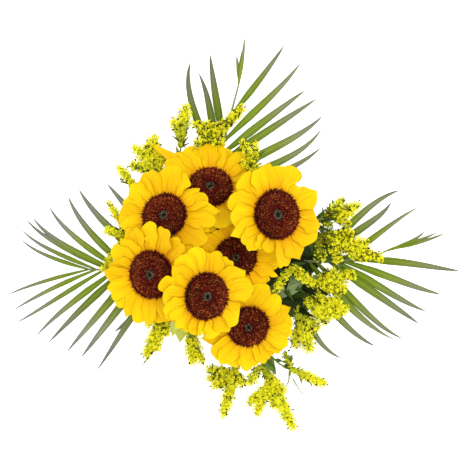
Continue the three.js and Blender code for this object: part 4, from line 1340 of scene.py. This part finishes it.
def leaf_blade(heap, bloom_name, ring, tip, width, tint, rng):
    """A stalk and a broad blade with raised veins, arching from a bloom's stem to its tip."""
    bloom = next(b for b in BLOOMS if b["name"] == bloom_name)
    stem = bloom_stem_course(bloom)
    rings = [0, 6, 15, *np.linspace(CUP["depth"], stem.length - stem_straight(bloom), 6)]
    node, along = stem.at(rings[ring]), stem.heading(rings[ring])
    tip = np.array(tip, float)
    away = tip - node
    out = unit(away - along * (away @ along))
    start = node + out * (STEM["radius"] - 0.5)
    elbow = start + out * LEAF["stalk"]
    course = Course(spline([start, elbow, (elbow + tip) / 2 + UP * LEAF["stalk"], tip]))
    part = np.linspace(0, 1, LEAF["rows"])
    s, above = blade_loop(LEAF["columns"])
    t = part[:, None]
    half = np.maximum(1.1, width / 2 * np.sin(math.pi * np.clip((t - 0.14) / 0.86, 0, 1) ** 0.85) ** 0.9)
    half = np.where(t >= 0.999, 0.15, half)
    teeth = 1 + 0.05 * np.sin(2 * math.pi * LEAF["veins"] * t) * (np.abs(s) > 0.9)
    vein = np.cos(2 * math.pi * (LEAF["veins"] * t - 3.5 * np.abs(s)))
    lift = half * (0.3 * np.abs(s) - 0.12) - 0.45 * vein * np.abs(s) * (half > 4)
    lift = lift + 1.4 * np.sin(2 * math.pi * (1.6 * t + rng.uniform(0, 1))) * s**2 * np.sign(s)
    lift = lift + above * (0.45 + np.where(t < 0.2, 0.7 * (1 - t / 0.2), 0)) * plump(s)
    side = np.cross(course.heading(0.0), UP)
    heap.add(*ribbon(course, part, side, s, half * s * teeth, lift), LEAF_TINTS[tint])


def leaf_group(name, rng):
    heap = Heap()
    for row in LEAVES[name]:
        leaf_blade(heap, *row, rng)
    make_piece(f"{name}_leaf", heap, "leaf", [f"leaf_{name}"])


def twine():
    """Turns of two-ply twine round the stems, finished with a flat knot and two short ends."""
    heap = Heap()
    thick = (TIE["high"] - TIE["low"]) / TIE["turns"] / 2
    radius = TIE["inner"] + thick
    part = np.linspace(0, 1, TIE["rows"])
    out, _ = ring_vectors(2 * math.pi * TIE["turns"] * part)
    height = mix(TIE["low"] + thick, TIE["high"] - thick, part)
    loops = [out * radius + UP * height[:, None] + (*AXIS, 0)]
    knot = np.array([*in_bundle(0, radius + 2.5), (TIE["low"] + TIE["high"]) / 2])
    for way in (1, -1):
        loops.append(spline([
            knot + (0, -3 * way, 0), knot + (2.2, 2.5 * way, 1.5 * way), knot + (3.0, 6 * way, -3),
            knot + (2.0, 11 * way, -10), knot + (3.5, 14 * way, -16),
        ], 30))
    loops.append(spline([
        knot + (-1, -4, 3), knot + (2.6, 0, 4), knot + (2.6, 1, -4), knot + (-1, 4, -3),
    ]))
    for points in loops:
        course = Course(points)
        rows = max(12, int(course.length / 1.3))
        distances = np.linspace(0, course.length, rows)
        at, across, over = course.frames(distances, UP)
        for start in (0, math.pi):
            aside = swung(across, over, 2 * math.pi * distances / TIE["lay"] + start)
            ply = TIE["ply"] * thick
            heap.limb(Course(at + aside * TIE["aside"] * thick), (rows, ply, ply, 7), 0)
    make_piece("twine_wrap", heap, "twine", ["twine_tie"])


# ---- assembly ----


def draws(group, number):
    """Random numbers of its own for each plant, so that a change to one leaves the others alone."""
    return np.random.default_rng(SEED + group + number)


def build():
    for number, bloom in enumerate(BLOOMS):
        rng = draws(0, 10 * number)
        bloom_petals(bloom, rng)
        bloom_disc(bloom, rng)
        bloom_stem(bloom, rng)
    for number, plant in enumerate(FRONDS):
        frond(plant, draws(200, number))
    for number, (name, (slot, sprays)) in enumerate(GOLDENROD.items()):
        rng = draws(300, number)
        for plume in sprays:
            spray(plume, rng)
        goldenrod_stem(name, slot, sprays, rng)
    for number, name in enumerate(LEAVES):
        leaf_group(name, draws(400, number))
    twine()


# ---- floor, light and camera ----

# Lengths are in metres here, but for the camera's sensor, and angles in degrees. The picture is as wide as
# "width" at that "distance" under the camera.
FLOOR = {"half": 8.0, "below": 0.0006, "grey": 0.9, "rough": 0.9, "glow": 0.7}
LIGHT = {"world": 1.15, "sun": 1.1, "spread": 24, "turn": (-5, 11, 0)}
CAMERA = {"height": 3.12, "distance": 3.0, "width": 0.658, "sensor": 36}
WHITE = (1.0, 1.0, 1.0, 1.0)


def make_floor():
    mesh = bpy.data.meshes.new("floor")
    half = FLOOR["half"]
    corners = [(-half, -half, 0), (half, -half, 0), (half, half, 0), (-half, half, 0)]
    mesh.from_pydata(corners, [], [(0, 1, 2, 3)])
    floor = add_object("floor", mesh)
    floor.location.z = -FLOOR["below"]
    material = bpy.data.materials.new("pale_floor")
    material.use_nodes = True
    shader = material.node_tree.nodes["Principled BSDF"]
    shader.inputs["Base Color"].default_value = (*[FLOOR["grey"]] * 3, 1.0)
    shader.inputs["Roughness"].default_value = FLOOR["rough"]
    shader.inputs["Emission Color"].default_value = WHITE
    shader.inputs["Emission Strength"].default_value = FLOOR["glow"]
    mesh.materials.append(material)


def make_light():
    world = bpy.data.worlds.new("studio")
    world.use_nodes = True
    background = world.node_tree.nodes["Background"]
    background.inputs["Color"].default_value = WHITE
    background.inputs["Strength"].default_value = LIGHT["world"]
    bpy.context.scene.world = world
    sun = bpy.data.lights.new("key", "SUN")
    sun.energy = LIGHT["sun"]
    sun.angle = math.radians(LIGHT["spread"])
    add_object("key", sun).rotation_euler = [math.radians(angle) for angle in LIGHT["turn"]]
    bpy.context.scene.view_settings.view_transform = "Standard"


def make_camera():
    """Straight above the bouquet, far off, as a shop's picture of it is taken."""
    data = bpy.data.cameras.new("camera")
    data.sensor_width = CAMERA["sensor"]
    data.lens = CAMERA["sensor"] * CAMERA["distance"] / CAMERA["width"]
    camera = add_object("camera", data)
    camera.location = (SHIFT[0] * MM, SHIFT[1] * MM, CAMERA["height"])
    bpy.context.scene.camera = camera


make_camera()
make_floor()
make_light()
build()
